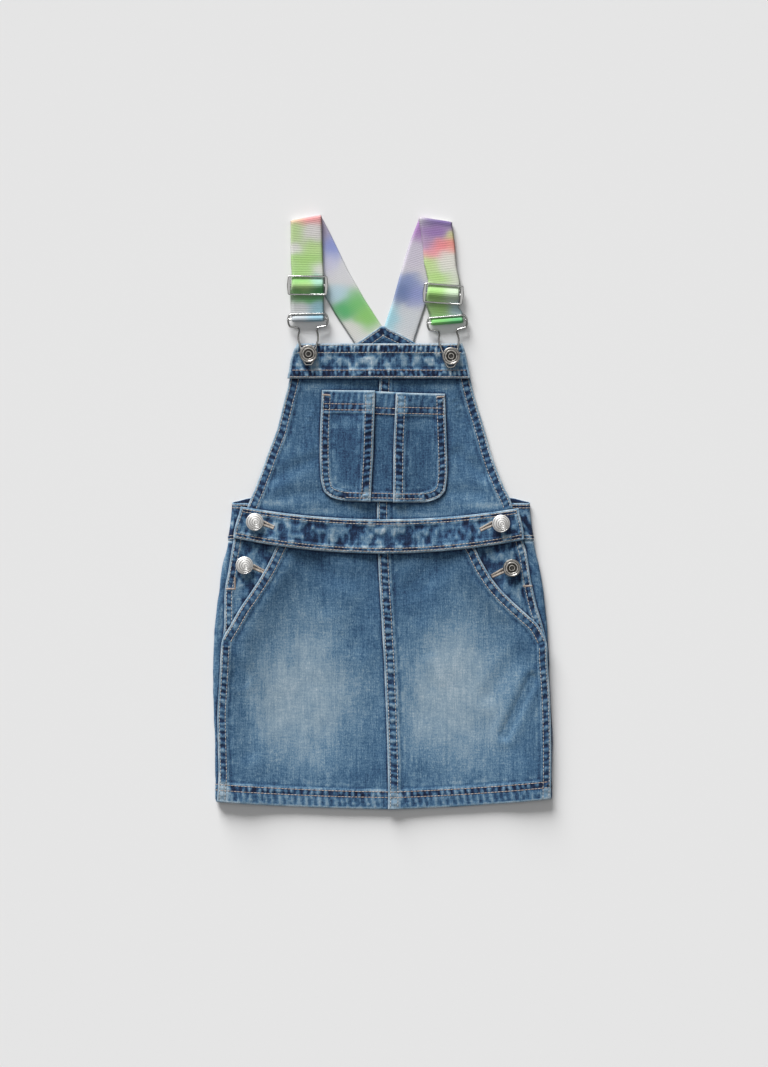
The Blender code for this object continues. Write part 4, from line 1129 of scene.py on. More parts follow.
@dataclass
class Strap:
    """A strap of dyed webbing: up from the back, over its fold, through the slider and the hook."""

    name: str
    back: list[Station]
    fold: Station
    front: list[Station]
    slider: Place
    hook: Place
    dyes: list[Dye]
    half_width: float = 14.6
    thickness: float = 1.15
    wall: float = 1.3
    fold_radius: float = 2.0
    under_rail: float = 4.0
    over_bar: float = 7.75
    half_slider: float = 8.2
    hook_bar_z: float = 4.2
    hook_bar_drop: float = 4.7
    roll_radius: float = 2.0
    step: float = 1.0
    columns: int = 16

    def line(self, place: Place, along: float, z: float, shift: float = 0.0) -> tuple[Vector, Vector]:
        """Give the webbing's two edges on a line across a piece of hardware."""
        return (
            placed(place, along, shift - self.half_width, z),
            placed(place, along, shift + self.half_width, z),
        )

    def route(self) -> tuple[list[tuple[Vector, Vector]], int]:
        """Give the webbing's two edges along its route, and where its front leg starts."""
        ends = [(Vector((s.left_x, s.left_y, s.z)), Vector((s.right_x, s.right_y, s.z)))
                for s in self.back + [self.fold]]
        route = []
        for start, end in zip(ends, ends[1:]):
            for i in range(3):
                route.append((start[0].lerp(end[0], i / 3), start[1].lerp(end[1], i / 3)))
        left, right = ends[-1]
        across = (right - left).normalized()
        outwards = Vector((-across.y, across.x, 0.0))
        for i in range(9):
            angle = math.pi * i / 8
            bulge = outwards * (self.fold_radius * math.sin(angle))
            bulge += Vector((0, 0, self.fold_radius * (1 - math.cos(angle))))
            route.append((left + bulge, right + bulge))
            if i == 4:
                front_starts = len(route)
        route += [(Vector((s.left_x, s.left_y, s.z)), Vector((s.right_x, s.right_y, s.z)))
                  for s in self.front]
        half, under, over = self.half_slider, self.under_rail, self.over_bar
        route += [self.line(self.slider, along, z) for along, z in (
            (-half - 3.0, under), (-half, under), (-half + 1.6, under + 0.4), (-2.6, over - 0.9),
            (-1.2, over), (1.2, over), (2.6, over - 0.9), (half - 1.6, under + 0.4), (half, under),
            (half + 2.6, under),
        )]
        bar, drop, roll = self.hook_bar_z, self.hook_bar_drop, self.roll_radius
        route += [self.line(self.hook, along, z) for along, z in (
            (-3.2, bar - roll + 0.35), (0.0, bar - roll), (1.3, bar - 1.5), (drop / 2, bar),
            (drop - 1.5, bar + 1.4),
        )]
        for i in range(9):
            angle = math.pi * i / 8
            along, z = drop + roll * math.sin(angle), bar + roll * math.cos(angle)
            route.append(self.line(self.hook, along, z))
        floor = self.wall / 2
        route += [self.line(self.hook, *stop) for stop in ((1.4, 1.15, -0.4), (-0.4, floor, -0.8),
                                                           (-3.6, floor, -1.0))]
        route += [self.line(self.slider, *stop) for stop in (
            (half + 0.6, 2.3, -1.0), (half - 2.4, 2.3, -1.0), (2.4, 3.7, -0.6), (0.4, 4.0, -0.6),
        )]
        return route, front_starts

    def build(self, bench: Workbench) -> bpy.types.Object:
        """Make the webbing, with its dye and its weave's directions, and lay it on the bench."""
        route, front_starts = self.route()
        edges = np.array([[tuple(left), tuple(right)] for left, right in route])
        steps = np.linalg.norm(np.diff(edges.mean(axis=1), axis=0), axis=1)
        run = np.concatenate([[0.0], np.cumsum(steps)])
        stops = np.arange(0.0, run[-1], self.step)
        lines = np.stack([[np.interp(stops, run, edges[:, side, axis]) for axis in range(3)]
                          for side in (0, 1)]).transpose(2, 0, 1)
        for _ in range(2):
            lines[1:-1] = (lines[:-2] + 2 * lines[1:-1] + lines[2:]) / 4
        share = np.linspace(0.0, 1.0, self.columns)[None, :, None]
        middle = lines[:, :1] * (1 - share) + lines[:, 1:] * share
        ahead = np.gradient(middle, axis=0)
        normal = np.cross(lines[:, 1:] - lines[:, :1], ahead)
        normal /= np.linalg.norm(normal, axis=2, keepdims=True)
        crown = 1.0 - 0.55 * (np.abs(share - 0.5) * 2) ** 12
        outer = middle + normal * self.thickness / 2 * crown
        inner = middle - normal * self.thickness / 2 * crown
        for edge in (np.s_[0], np.s_[-1], np.s_[:, 0], np.s_[:, -1]):
            outer[edge] = middle[edge]
        front = (stops >= run[front_starts - 1])[:, None] & np.ones(self.columns, bool)[None]
        along = np.repeat(stops[:, None], self.columns, axis=1)
        across = share[..., 0] * 2 * self.half_width + 0 * along
        color = self.dyed(middle, front)
        values = {}
        for key, grid in (("along", along), ("across", across), ("dye", color)):
            inside = grid[1:-1, 1:-1]
            flat, under = grid.reshape(-1, *grid.shape[2:]), inside.reshape(-1, *grid.shape[2:])
            values[key] = np.concatenate([flat, under])
        points = np.concatenate([outer.reshape(-1, 3), inner[1:-1, 1:-1].reshape(-1, 3)])
        thing = new_mesh(self.name + "_webbing", points, shell_faces(len(stops), self.columns), values)
        outward(thing)
        bench.lay(thing)
        return thing

    def dyed(self, middle: np.ndarray, front: np.ndarray) -> np.ndarray:
        """Blend the patches of dye over the webbing's pale ground, as colours."""
        ground = np.array([0.60, 0.585, 0.57])
        x, y = middle[..., 0], middle[..., 1]
        x = x + 1.5 * drift(x / 6, y / 6, 91)
        y = y + 1.5 * drift(x / 6, y / 6, 92)
        color = np.zeros(middle.shape)
        weight = np.full(x.shape, 0.14)
        color += ground * weight[..., None]
        for dye in self.dyes:
            own = front if dye.leg is Leg.FRONT else ~front
            far = ((x - dye.x) / dye.reach_x) ** 2 + ((y - dye.y) / dye.reach_y) ** 2
            strength = np.where(own, np.exp(-0.95 * far), 0.0)
            pigment = np.array([(channel / 255) ** 2.2 for channel in dye.color])
            color += pigment * strength[..., None]
            weight += strength
        color /= weight[..., None]
        return np.concatenate([color, np.ones(x.shape + (1,))], axis=2)

    def cut(self) -> tuple[float, float]:
        """Give the webbing's width and length in metres."""
        route, _ = self.route()
        middles = [(left + right) / 2 for left, right in route]
        length = sum((b - a).length for a, b in zip(middles, middles[1:]))
        return 2 * self.half_width * MM, length * MM


@dataclass
class Slider:
    """A stamped slider: a flat frame with a bar across its middle, rounded at its edges."""

    name: str
    place: Place
    width: float = 35.5
    length: float = 18.0
    side: float = 2.4
    rail: float = 1.6
    bar: float = 2.2
    ear: float = 0.8
    plate: float = 1.5
    z: float = 5.9

    def build(self) -> bpy.types.Object:
        """Shape the slider from a grid whose two windows are cut out."""
        Workbench.clear_selection()
        bpy.ops.mesh.primitive_grid_add(x_subdivisions=3, y_subdivisions=5, size=2.0)
        thing = bpy.context.object
        thing.name = self.name + "_metal"
        half, end = self.width / 2, self.length / 2
        xs = [-half, -half + self.side, half - self.side, half]
        ys = [-end, -end + self.rail, -self.bar / 2, self.bar / 2, end - self.rail, end]
        for point in thing.data.vertices:
            i, j = round((point.co.x + 1) * 1.5), round((point.co.y + 1) * 2.5)
            ear = self.ear * (-1 if i == 0 else 1) if i in (0, 3) and j in (2, 3) else 0.0
            corner = (0.6 if j == 0 else -0.6) if i in (0, 3) and j in (0, 5) else 0.0
            point.co = (xs[i] + ear, ys[j] + corner, 0.0)
        bpy.ops.object.mode_set(mode="EDIT")
        bpy.ops.mesh.select_mode(type="FACE")
        bpy.ops.mesh.select_all(action="DESELECT")
        bpy.ops.object.mode_set(mode="OBJECT")
        for face in thing.data.polygons:
            centre = face.center
            face.select = abs(centre.x) < 1.0 and self.bar / 2 < abs(centre.y) < end - self.rail
        bpy.ops.object.mode_set(mode="EDIT")
        bpy.ops.mesh.delete(type="FACE")
        bpy.ops.object.mode_set(mode="OBJECT")
        turned = Matrix.Translation((self.place.x, self.place.y, self.z))
        turned = turned @ Matrix.Rotation(math.radians(self.place.turn), 4, "Z")
        wall = thing.modifiers.new("plate", "SOLIDIFY")
        wall.thickness, wall.offset = self.plate, 0.0
        soft = thing.modifiers.new("worn edges", "BEVEL")
        soft.width, soft.segments, soft.limit_method = 0.7, 4, "ANGLE"
        soft.angle_limit = math.radians(40)
        for modifier in list(thing.modifiers):
            bpy.ops.object.modifier_apply(modifier=modifier.name)
        thing.data.transform(Matrix.Scale(MM, 4) @ turned)
        bpy.ops.object.shade_smooth_by_angle(angle=math.radians(35))
        return thing


@dataclass
class Hook:
    """A bent wire hook: a frame round the webbing's bar, and a loop that goes round a button's neck."""

    name: str
    place: Place
    wire: float = 0.95
    bar_z: float = 4.2
    bar_drop: float = 4.7
    bar_half: float = 18.6
    on_band: float = 24.0
    outline: tuple[tuple[float, float], ...] = (
        (0.0, 0.0), (0.0, 9.0), (0.1, 15.6), (1.6, 17.6), (5.2, 17.9), (9.2, 17.8), (11.2, 16.2),
        (11.8, 12.6), (12.4, 9.2), (14.2, 7.5), (17.0, 8.3), (20.6, 9.5), (25.0, 8.5), (31.0, 6.4),
        (38.0, 5.7), (42.6, 5.0), (45.6, 2.6), (46.2, 0.0),
    )

    def build(self, bench: Workbench) -> tuple[list[bpy.types.Object], float]:
        """Bend the wire and set its bar.

        Args:
            bench: The workbench, with the bib's band on it.

        Returns:
            The wire and the bar, and the height of the top of the wire where the button sits.
        """
        loop = list(self.outline) + [(along, -half) for along, half in self.outline[-2:0:-1]]
        end = [point for point in loop if point[0] > self.on_band]
        over = np.array([placed(self.place, *point, 0.0)[:2] for point in end])
        rest = bench.tops(over[:, 0], over[:, 1]).max() + self.wire + 0.1
        points = []
        for along, half in loop:
            share = float(ramp(self.bar_drop, self.on_band, np.array(along)))
            points.append(placed(self.place, along, half, self.bar_z + (rest - self.bar_z) * share))
        Workbench.clear_selection()
        bpy.ops.curve.primitive_nurbs_circle_add(radius=1.0)
        wire = bpy.context.object
        wire.name = self.name + "_wire"
        spline = wire.data.splines[0]
        spline.points.add(len(points) - len(spline.points))
        for control, point in zip(spline.points, points):
            control.co = (*(point * MM), 1.0)
        spline.order_u, spline.resolution_u = 3, 4
        wire.data.bevel_depth, wire.data.bevel_resolution = self.wire * MM, 3
        bpy.ops.object.convert(target="MESH")
        bpy.ops.object.shade_smooth()
        left = placed(self.place, self.bar_drop, -self.bar_half, self.bar_z) * MM
        right = placed(self.place, self.bar_drop, self.bar_half, self.bar_z) * MM
        Workbench.clear_selection()
        turn = (right - left).to_track_quat("Z", "Y").to_euler()
        bpy.ops.mesh.primitive_cylinder_add(
            vertices=20, radius=self.wire * MM, depth=(right - left).length,
            location=(left + right) / 2, rotation=turn,
        )
        bar = bpy.context.object
        bar.name = self.name + "_bar"
        bpy.ops.object.transform_apply(location=True, rotation=True, scale=True)
        soft = bar.modifiers.new("rounded ends", "BEVEL")
        soft.width, soft.segments, soft.limit_method = 0.35 * MM, 3, "ANGLE"
        bpy.ops.object.modifier_apply(modifier=soft.name)
        bpy.ops.object.shade_smooth_by_angle(angle=math.radians(35))
        return [wire, bar], rest + self.wire


class Rim(NamedTuple):
    """A ring of a turned button: its radius, its height and how tarnished it is."""

    radius: float
    height: float
    tarnish: float = 0.0


DOMED = [
    Rim(3.3, -0.6), Rim(3.3, 2.3), Rim(6.9, 2.25), Rim(7.7, 2.7), Rim(7.95, 3.3), Rim(7.75, 3.85),
    Rim(7.15, 4.2), Rim(6.8, 4.02, 0.8), Rim(6.4, 4.25), Rim(5.3, 4.6), Rim(4.9, 4.42, 0.8),
    Rim(4.5, 4.68), Rim(3.6, 4.85), Rim(3.25, 4.66, 0.85), Rim(2.9, 4.88), Rim(1.8, 5.0),
    Rim(1.45, 4.82, 0.9), Rim(1.1, 5.02), Rim(0.4, 5.03, 0.2),
]

HOLLOW = [
    Rim(3.3, -0.6), Rim(3.3, 2.7), Rim(7.0, 2.7), Rim(7.9, 3.15, 0.3), Rim(8.1, 3.75), Rim(7.8, 4.3),
    Rim(7.15, 4.62), Rim(6.5, 4.66), Rim(6.1, 4.4, 0.8), Rim(5.7, 4.42, 0.6), Rim(5.4, 4.72),
    Rim(4.6, 4.75), Rim(4.2, 4.4, 0.8), Rim(3.9, 3.7, 1.0), Rim(3.2, 3.6, 1.0), Rim(2.95, 4.2, 0.6),
    Rim(2.65, 4.5), Rim(2.1, 4.5), Rim(1.75, 4.1, 0.8), Rim(1.5, 3.3, 1.0), Rim(0.4, 3.2, 1.0),
]


@dataclass
class Button:
    """A tack button, turned ring by ring, with plain rings on its face."""

    name: str
    x: float
    y: float
    rims: list[Rim]
    slot: str
    off_centre: float = 0.0

    def build(self, wire_top: float) -> bpy.types.Object:
        """Turn the button and set it on the cloth, with its cap clear of a hook's wire."""
        Workbench.clear_selection()
        first = self.rims[0]
        bpy.ops.mesh.primitive_circle_add(vertices=48, radius=first.radius * MM, fill_type="NGON",
                                          location=(0.0, 0.0, first.height * MM))
        thing = bpy.context.object
        thing.name = self.name + "_metal"
        bpy.ops.object.transform_apply(location=True, rotation=False, scale=False)
        bpy.ops.object.mode_set(mode="EDIT")
        bpy.ops.mesh.select_all(action="SELECT")
        for before, after in zip(self.rims, self.rims[1:]):
            rise = (after.height - before.height) * MM
            bpy.ops.mesh.extrude_region_move(TRANSFORM_OT_translate={"value": (0.0, 0.0, rise)})
            scale = after.radius / before.radius
            bpy.ops.transform.resize(value=(scale, scale, 1.0), center_override=(0.0, 0.0, 0.0))
        bpy.ops.object.mode_set(mode="OBJECT")
        outward(thing)
        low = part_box(self.name)[0].z
        base = max(low, wire_top * MM + 0.1 * MM - self.rims[1].height * MM)
        profile = np.array([rim[:2] for rim in self.rims])
        tarnish = thing.data.attributes.new("tarnish", "FLOAT", "POINT")
        for point, dull in zip(thing.data.vertices, tarnish.data):
            place = np.array([math.hypot(point.co.x, point.co.y), point.co.z]) / MM
            dull.value = self.rims[int(np.hypot(*(profile - place).T).argmin())].tarnish
            if self.off_centre and point.co.z > 4.0 * MM:
                inner = 1.0 - min(1.0, math.hypot(point.co.x, point.co.y) / (7.0 * MM))
                point.co.x += self.off_centre * MM * inner
                point.co.y -= 0.6 * self.off_centre * MM * inner
        thing.data.transform(Matrix.Translation((self.x * MM, self.y * MM, base)))
        bpy.ops.object.shade_smooth_by_angle(angle=math.radians(28))
        return thing


class Nodes:
    """A short way to lay out a material's nodes."""

    def __init__(self, name: str) -> None:
        """Start a material with its Principled shader."""
        self.material = bpy.data.materials.new(name)
        self.material.use_nodes = True
        self.tree = self.material.node_tree
        self.shader = self.tree.nodes["Principled BSDF"]

    def add(self, kind: str, settings: dict | None = None, **inputs) -> bpy.types.Node:
        """Add a node with its settings, and link or set its inputs by name or number.

        Args:
            kind: The node's type, without its prefix.
            settings: Values of the node itself.
            inputs: Sockets or values, by the input's name with underscores, or in_N.

        Returns:
            The node.
        """
        node = self.tree.nodes.new("ShaderNode" + kind)
        for key, value in (settings or {}).items():
            setattr(node, key, value)
        for key, value in inputs.items():
            place = int(key[3:]) if key.startswith("in_") else key.replace("_", " ")
            self.plug(node.inputs[place], value)
        return node

    def plug(self, socket: bpy.types.NodeSocket, value) -> None:
        """Link a socket, or set its value."""
        if isinstance(value, bpy.types.NodeSocket):
            self.tree.links.new(value, socket)
        else:
            socket.default_value = value

    def mixed(self, kind: str, first, second) -> bpy.types.NodeSocket:
        """Add a maths node and give its result."""
        return self.add("Math", {"operation": kind}, in_0=first, in_1=second).outputs[0]

    def stretched(self, scale: tuple[float, float, float], turn: float = 0.0) -> bpy.types.NodeSocket:
        """Give object coordinates in units of a size, turned about Z."""
        place = self.add("TexCoord").outputs["Object"]
        mapping = self.add("Mapping", Vector=place, Scale=scale, Rotation=(0.0, 0.0, turn))
        return mapping.outputs[0]

    def noise(self, vector, scale: float, detail: float = 2.0) -> bpy.types.NodeSocket:
        """Add a noise and give its values, moved to lie about zero."""
        found = self.add("TexNoise", Vector=vector, Scale=scale, Detail=detail)
        return self.mixed("SUBTRACT", found.outputs[0], 0.5)

    def ramp(self, factor, stops: Sequence[tuple[float, tuple[float, float, float]]]):
        """Add a colour ramp through stops, and give its colour."""
        node = self.add("ValToRGB", in_0=factor)
        points = node.color_ramp.elements
        while len(points) < len(stops):
            points.new(0.5)
        for point, (place, color) in zip(points, stops):
            point.position, point.color = place, (*color, 1.0)
        return node.outputs[0]

    def shade(self, **values) -> None:
        """Set or link the shader's inputs by name with underscores."""
        for key, value in values.items():
            self.plug(self.shader.inputs[key.replace("_", " ")], value)


@dataclass(frozen=True)
class Denim:
    """Washed denim: indigo in its hollows, worn pale on its ridges, with slubs and a twill, and darker
    where shade is painted into its wash and shade value.
    """

    name: str
    lightness: float = 0.0

    def make(self) -> bpy.types.Material:
        """Lay out the material."""
        nodes = Nodes(self.name)
        wash = nodes.add("Attribute", {"attribute_name": "wash"}).outputs["Fac"]
        slub = nodes.noise(nodes.stretched((900.0, 60.0, 60.0)), 1.0, 3.0)
        weft = nodes.noise(nodes.stretched((140.0, 900.0, 140.0)), 1.0, 2.0)
        weave = nodes.noise(nodes.stretched((900.0, 520.0, 520.0)), 1.0, 2.0)
        grain = nodes.noise(nodes.stretched((1.0, 1.0, 1.0)), 1200.0, 2.0)
        cloud = nodes.noise(nodes.stretched((1.0, 0.6, 1.0)), 90.0, 4.0)
        twill = nodes.add("TexWave", {"bands_direction": "X"}, Vector=nodes.stretched((1, 1, 1), 1.1),
                          Scale=330.0, Distortion=1.2, Detail=1.0).outputs["Fac"]
        total = nodes.mixed("ADD", wash, self.lightness)
        calm = nodes.add("MapRange", Value=wash, From_Min=0.15, From_Max=0.75, To_Min=1.0,
                         To_Max=0.55).outputs[0]
        grains = 0.0
        for value, strength in ((slub, 0.9), (weft, 0.7), (weave, 1.1), (grain, 1.0), (cloud, 0.45),
                                (twill, 0.10)):
            grains = nodes.mixed("ADD", grains, nodes.mixed("MULTIPLY", value, strength))
        total = nodes.mixed("ADD", total, nodes.mixed("MULTIPLY", grains, calm))
        share = nodes.add("MapRange", Value=total, From_Min=-1.0, From_Max=1.25).outputs[0]
        color = nodes.ramp(share, (
            (0.00, (0.006, 0.012, 0.034)),
            (0.20, (0.014, 0.034, 0.086)),
            (0.44, (0.044, 0.111, 0.204)),
            (0.62, (0.108, 0.200, 0.298)),
            (0.80, (0.240, 0.330, 0.405)),
            (1.00, (0.460, 0.530, 0.580)),
        ))
        raised = nodes.mixed("ADD", nodes.mixed("MULTIPLY", twill, 0.6), grain)
        raised = nodes.mixed("ADD", raised, slub)
        bump = nodes.add("Bump", Strength=0.40, Distance=0.00030, Height=raised)
        nodes.shade(Base_Color=color, Roughness=0.88, Normal=bump.outputs[0], Sheen_Weight=0.10,
                    Sheen_Roughness=0.45, Specular_IOR_Level=0.18)
        return nodes.material


@dataclass(frozen=True)
class Webbing:
    """Elastic webbing: soft patches of dye over fine crosswise ribs."""

    name: str
    rib: float = 1.6

    def make(self) -> bpy.types.Material:
        """Lay out the material."""
        nodes = Nodes(self.name)
        dye = nodes.add("Attribute", {"attribute_name": "dye"}).outputs["Color"]
        along = nodes.add("Attribute", {"attribute_name": "along"}).outputs["Fac"]
        across = nodes.add("Attribute", {"attribute_name": "across"}).outputs["Fac"]
        place = nodes.add("CombineXYZ", X=across, Y=along, Z=0.0).outputs[0]
        ribs = nodes.mixed("SINE", nodes.mixed("MULTIPLY", along, math.tau / self.rib), 0.0)
        ends = nodes.mixed("SINE", nodes.mixed("MULTIPLY", across, math.tau / 1.1), 0.0)
        speck = nodes.noise(place, 1.4, 2.0)
        fine, specks = nodes.mixed("MULTIPLY", ribs, 0.06), nodes.mixed("MULTIPLY", speck, 0.6)
        weave = nodes.mixed("ADD", fine, specks)
        weave = nodes.mixed("ADD", weave, nodes.mixed("MULTIPLY", ends, 0.025))
        value = nodes.mixed("ADD", weave, 1.0)
        color = nodes.add("VectorMath", {"operation": "SCALE"}, in_0=dye, Scale=value).outputs[0]
        height = nodes.mixed("ADD", ribs, nodes.mixed("MULTIPLY", ends, 0.35))
        bump = nodes.add("Bump", Strength=0.3, Distance=0.0002, Height=height)
        nodes.shade(Base_Color=color, Roughness=0.78, Normal=bump.outputs[0], Sheen_Weight=0.15,
                    Sheen_Roughness=0.4, Specular_IOR_Level=0.25)
        return nodes.material


@dataclass(frozen=True)
class Sewn:
    """Cotton sewing thread, a little faded here and there."""

    thread: Thread

    def make(self) -> bpy.types.Material:
        """Lay out the material."""
        nodes = Nodes("thread_" + self.thread.name.lower())
        faded = nodes.noise(nodes.stretched((1, 1, 1)), 260.0, 2.0)
        red, green, blue = self.thread.value
        pale = tuple(min(1.0, 0.45 * channel + 0.30) for channel in (red, green, blue))
        share = nodes.mixed("ADD", nodes.mixed("MULTIPLY", faded, 2.2), 0.35)
        deep = (red * 0.7, green * 0.7, blue * 0.7)
        color = nodes.ramp(share, ((0.0, deep), (0.45, (red, green, blue)), (1.0, pale)))
        nodes.shade(Base_Color=color, Roughness=0.7, Sheen_Weight=0.2, Specular_IOR_Level=0.25)
        return nodes.material


@dataclass(frozen=True)
class Metal:
    """Plated steel, with fine scratches and duller hollows."""

    name: str
    color: tuple[float, float, float]
    roughness: float
    aged: float = 0.0
    scratched: float = 0.15
    metallic: float = 1.0

    def make(self) -> bpy.types.Material:
        """Lay out the material."""
        nodes = Nodes(self.name)
        patch = nodes.noise(nodes.stretched((1, 1, 1)), 420.0, 3.0)
        scratch = nodes.noise(nodes.stretched((300.0, 2600.0, 300.0), 0.5), 1.0, 2.0)
        dark = tuple(channel * (1.0 - 0.6 * self.aged - 0.10) for channel in self.color)
        share = nodes.mixed("ADD", nodes.mixed("MULTIPLY", patch, 0.6 + 1.6 * self.aged), 0.6)
        color = nodes.ramp(share, ((0.15, dark), (0.75, self.color)))
        tarnish = nodes.add("Attribute", {"attribute_name": "tarnish"}).outputs["Fac"]
        clean = nodes.mixed("SUBTRACT", 1.0, nodes.mixed("MULTIPLY", tarnish, 0.85))
        color = nodes.add("VectorMath", {"operation": "SCALE"}, in_0=color, Scale=clean).outputs[0]
        rough = nodes.mixed("ADD", nodes.mixed("MULTIPLY", scratch, self.scratched), self.roughness)
        bump = nodes.add("Bump", Strength=self.scratched / 2, Distance=0.0001, Height=scratch)
        nodes.shade(Base_Color=color, Metallic=self.metallic, Roughness=rough, Normal=bump.outputs[0])
        return nodes.material


@dataclass
class Studio:
    """The pale floor, the soft light from the upper left, and the camera straight above."""

    floor_size: float = 6.0
    floor_tone: float = 0.795
    key_from: tuple[float, float, float] = (-0.30, 0.885, 0.35)
    key_power: float = 6.0
    key_spread: float = 32.0
    top_power: float = 15.4
    sky: float = 0.177
    height: float = 2.5
    centre: tuple[float, float] = (0.0009, -0.01935)
    frame_height: float = 0.9603

    def build(self) -> None:
        """Set up the floor, the lights and the camera."""
        Workbench.clear_selection()
        bpy.ops.mesh.primitive_plane_add(size=self.floor_size, location=(0.0, 0.0, -0.0002))
        floor = bpy.context.object
        floor.name = "floor"
        bpy.ops.object.transform_apply(location=True, rotation=False, scale=False)
        nodes = Nodes("pale_surface")
        nodes.shade(Base_Color=(self.floor_tone, self.floor_tone, self.floor_tone, 1.0), Roughness=0.95,
                    Specular_IOR_Level=0.1)
        floor.data.materials.append(nodes.material)
        self.light_up()
        world = bpy.data.worlds.new("studio")
        world.use_nodes = True
        world.node_tree.nodes["Background"].inputs["Color"].default_value = (1.0, 1.0, 1.0, 1.0)
        world.node_tree.nodes["Background"].inputs["Strength"].default_value = self.sky
        bpy.context.scene.world = world
        view = bpy.context.scene.view_settings
        view.view_transform, view.look, view.exposure, view.gamma = "Standard", "None", 0.0, 1.0
        Workbench.clear_selection()
        bpy.ops.object.camera_add(location=(*self.centre, self.height), rotation=(0.0, 0.0, 0.0))
        camera = bpy.context.object
        camera.data.sensor_fit = "VERTICAL"
        camera.data.sensor_height = SENSOR
        camera.data.lens = SENSOR * (self.height - FOLD_HEIGHT * MM) / self.frame_height
        camera.data.clip_end = 20.0
        bpy.context.scene.camera = camera

    def light_up(self) -> None:
        """Light the dress low and softly from the upper left, and evenly from above."""
        way = Vector(self.key_from)
        turn = way.to_track_quat("Z", "Y").to_euler()
        bpy.ops.object.light_add(type="SUN", location=way * 3.0, rotation=turn)
        key = bpy.context.object
        key.name = "key"
        key.data.energy, key.data.angle = self.key_power, math.radians(self.key_spread)
        bpy.ops.object.light_add(type="AREA", location=(0.0, 0.0, 3.0))
        top = bpy.context.object
        top.name = "softbox"
        top.data.size, top.data.energy = 2.4, self.top_power
        top.visible_camera = False


SIDE = dict(width=9.0, rows=(1.9, 7.2), thread=Thread.STONE, roping=0.9, pitch=6.4)
MOUTH = dict(width=9.4, rows=(2.1, 7.8), thread=Thread.SAND, roping=0.75, pitch=7.0)
LAP = dict(width=11.4, rows=(2.3, 8.8), thread=Thread.STONE, roping=0.95, pitch=6.2)
HEM = dict(width=17.6, rows=(10.8, 15.9), thread=Thread.COPPER, roping=1.1, pitch=6.2)
FELL = dict(width=10.2, rows=(1.9, 8.4), thread=Thread.STONE, roping=1.0, pitch=5.8)
ARMHOLE = dict(width=9.8, rows=(2.0, 8.0), thread=Thread.STONE, roping=0.9, pitch=6.0)

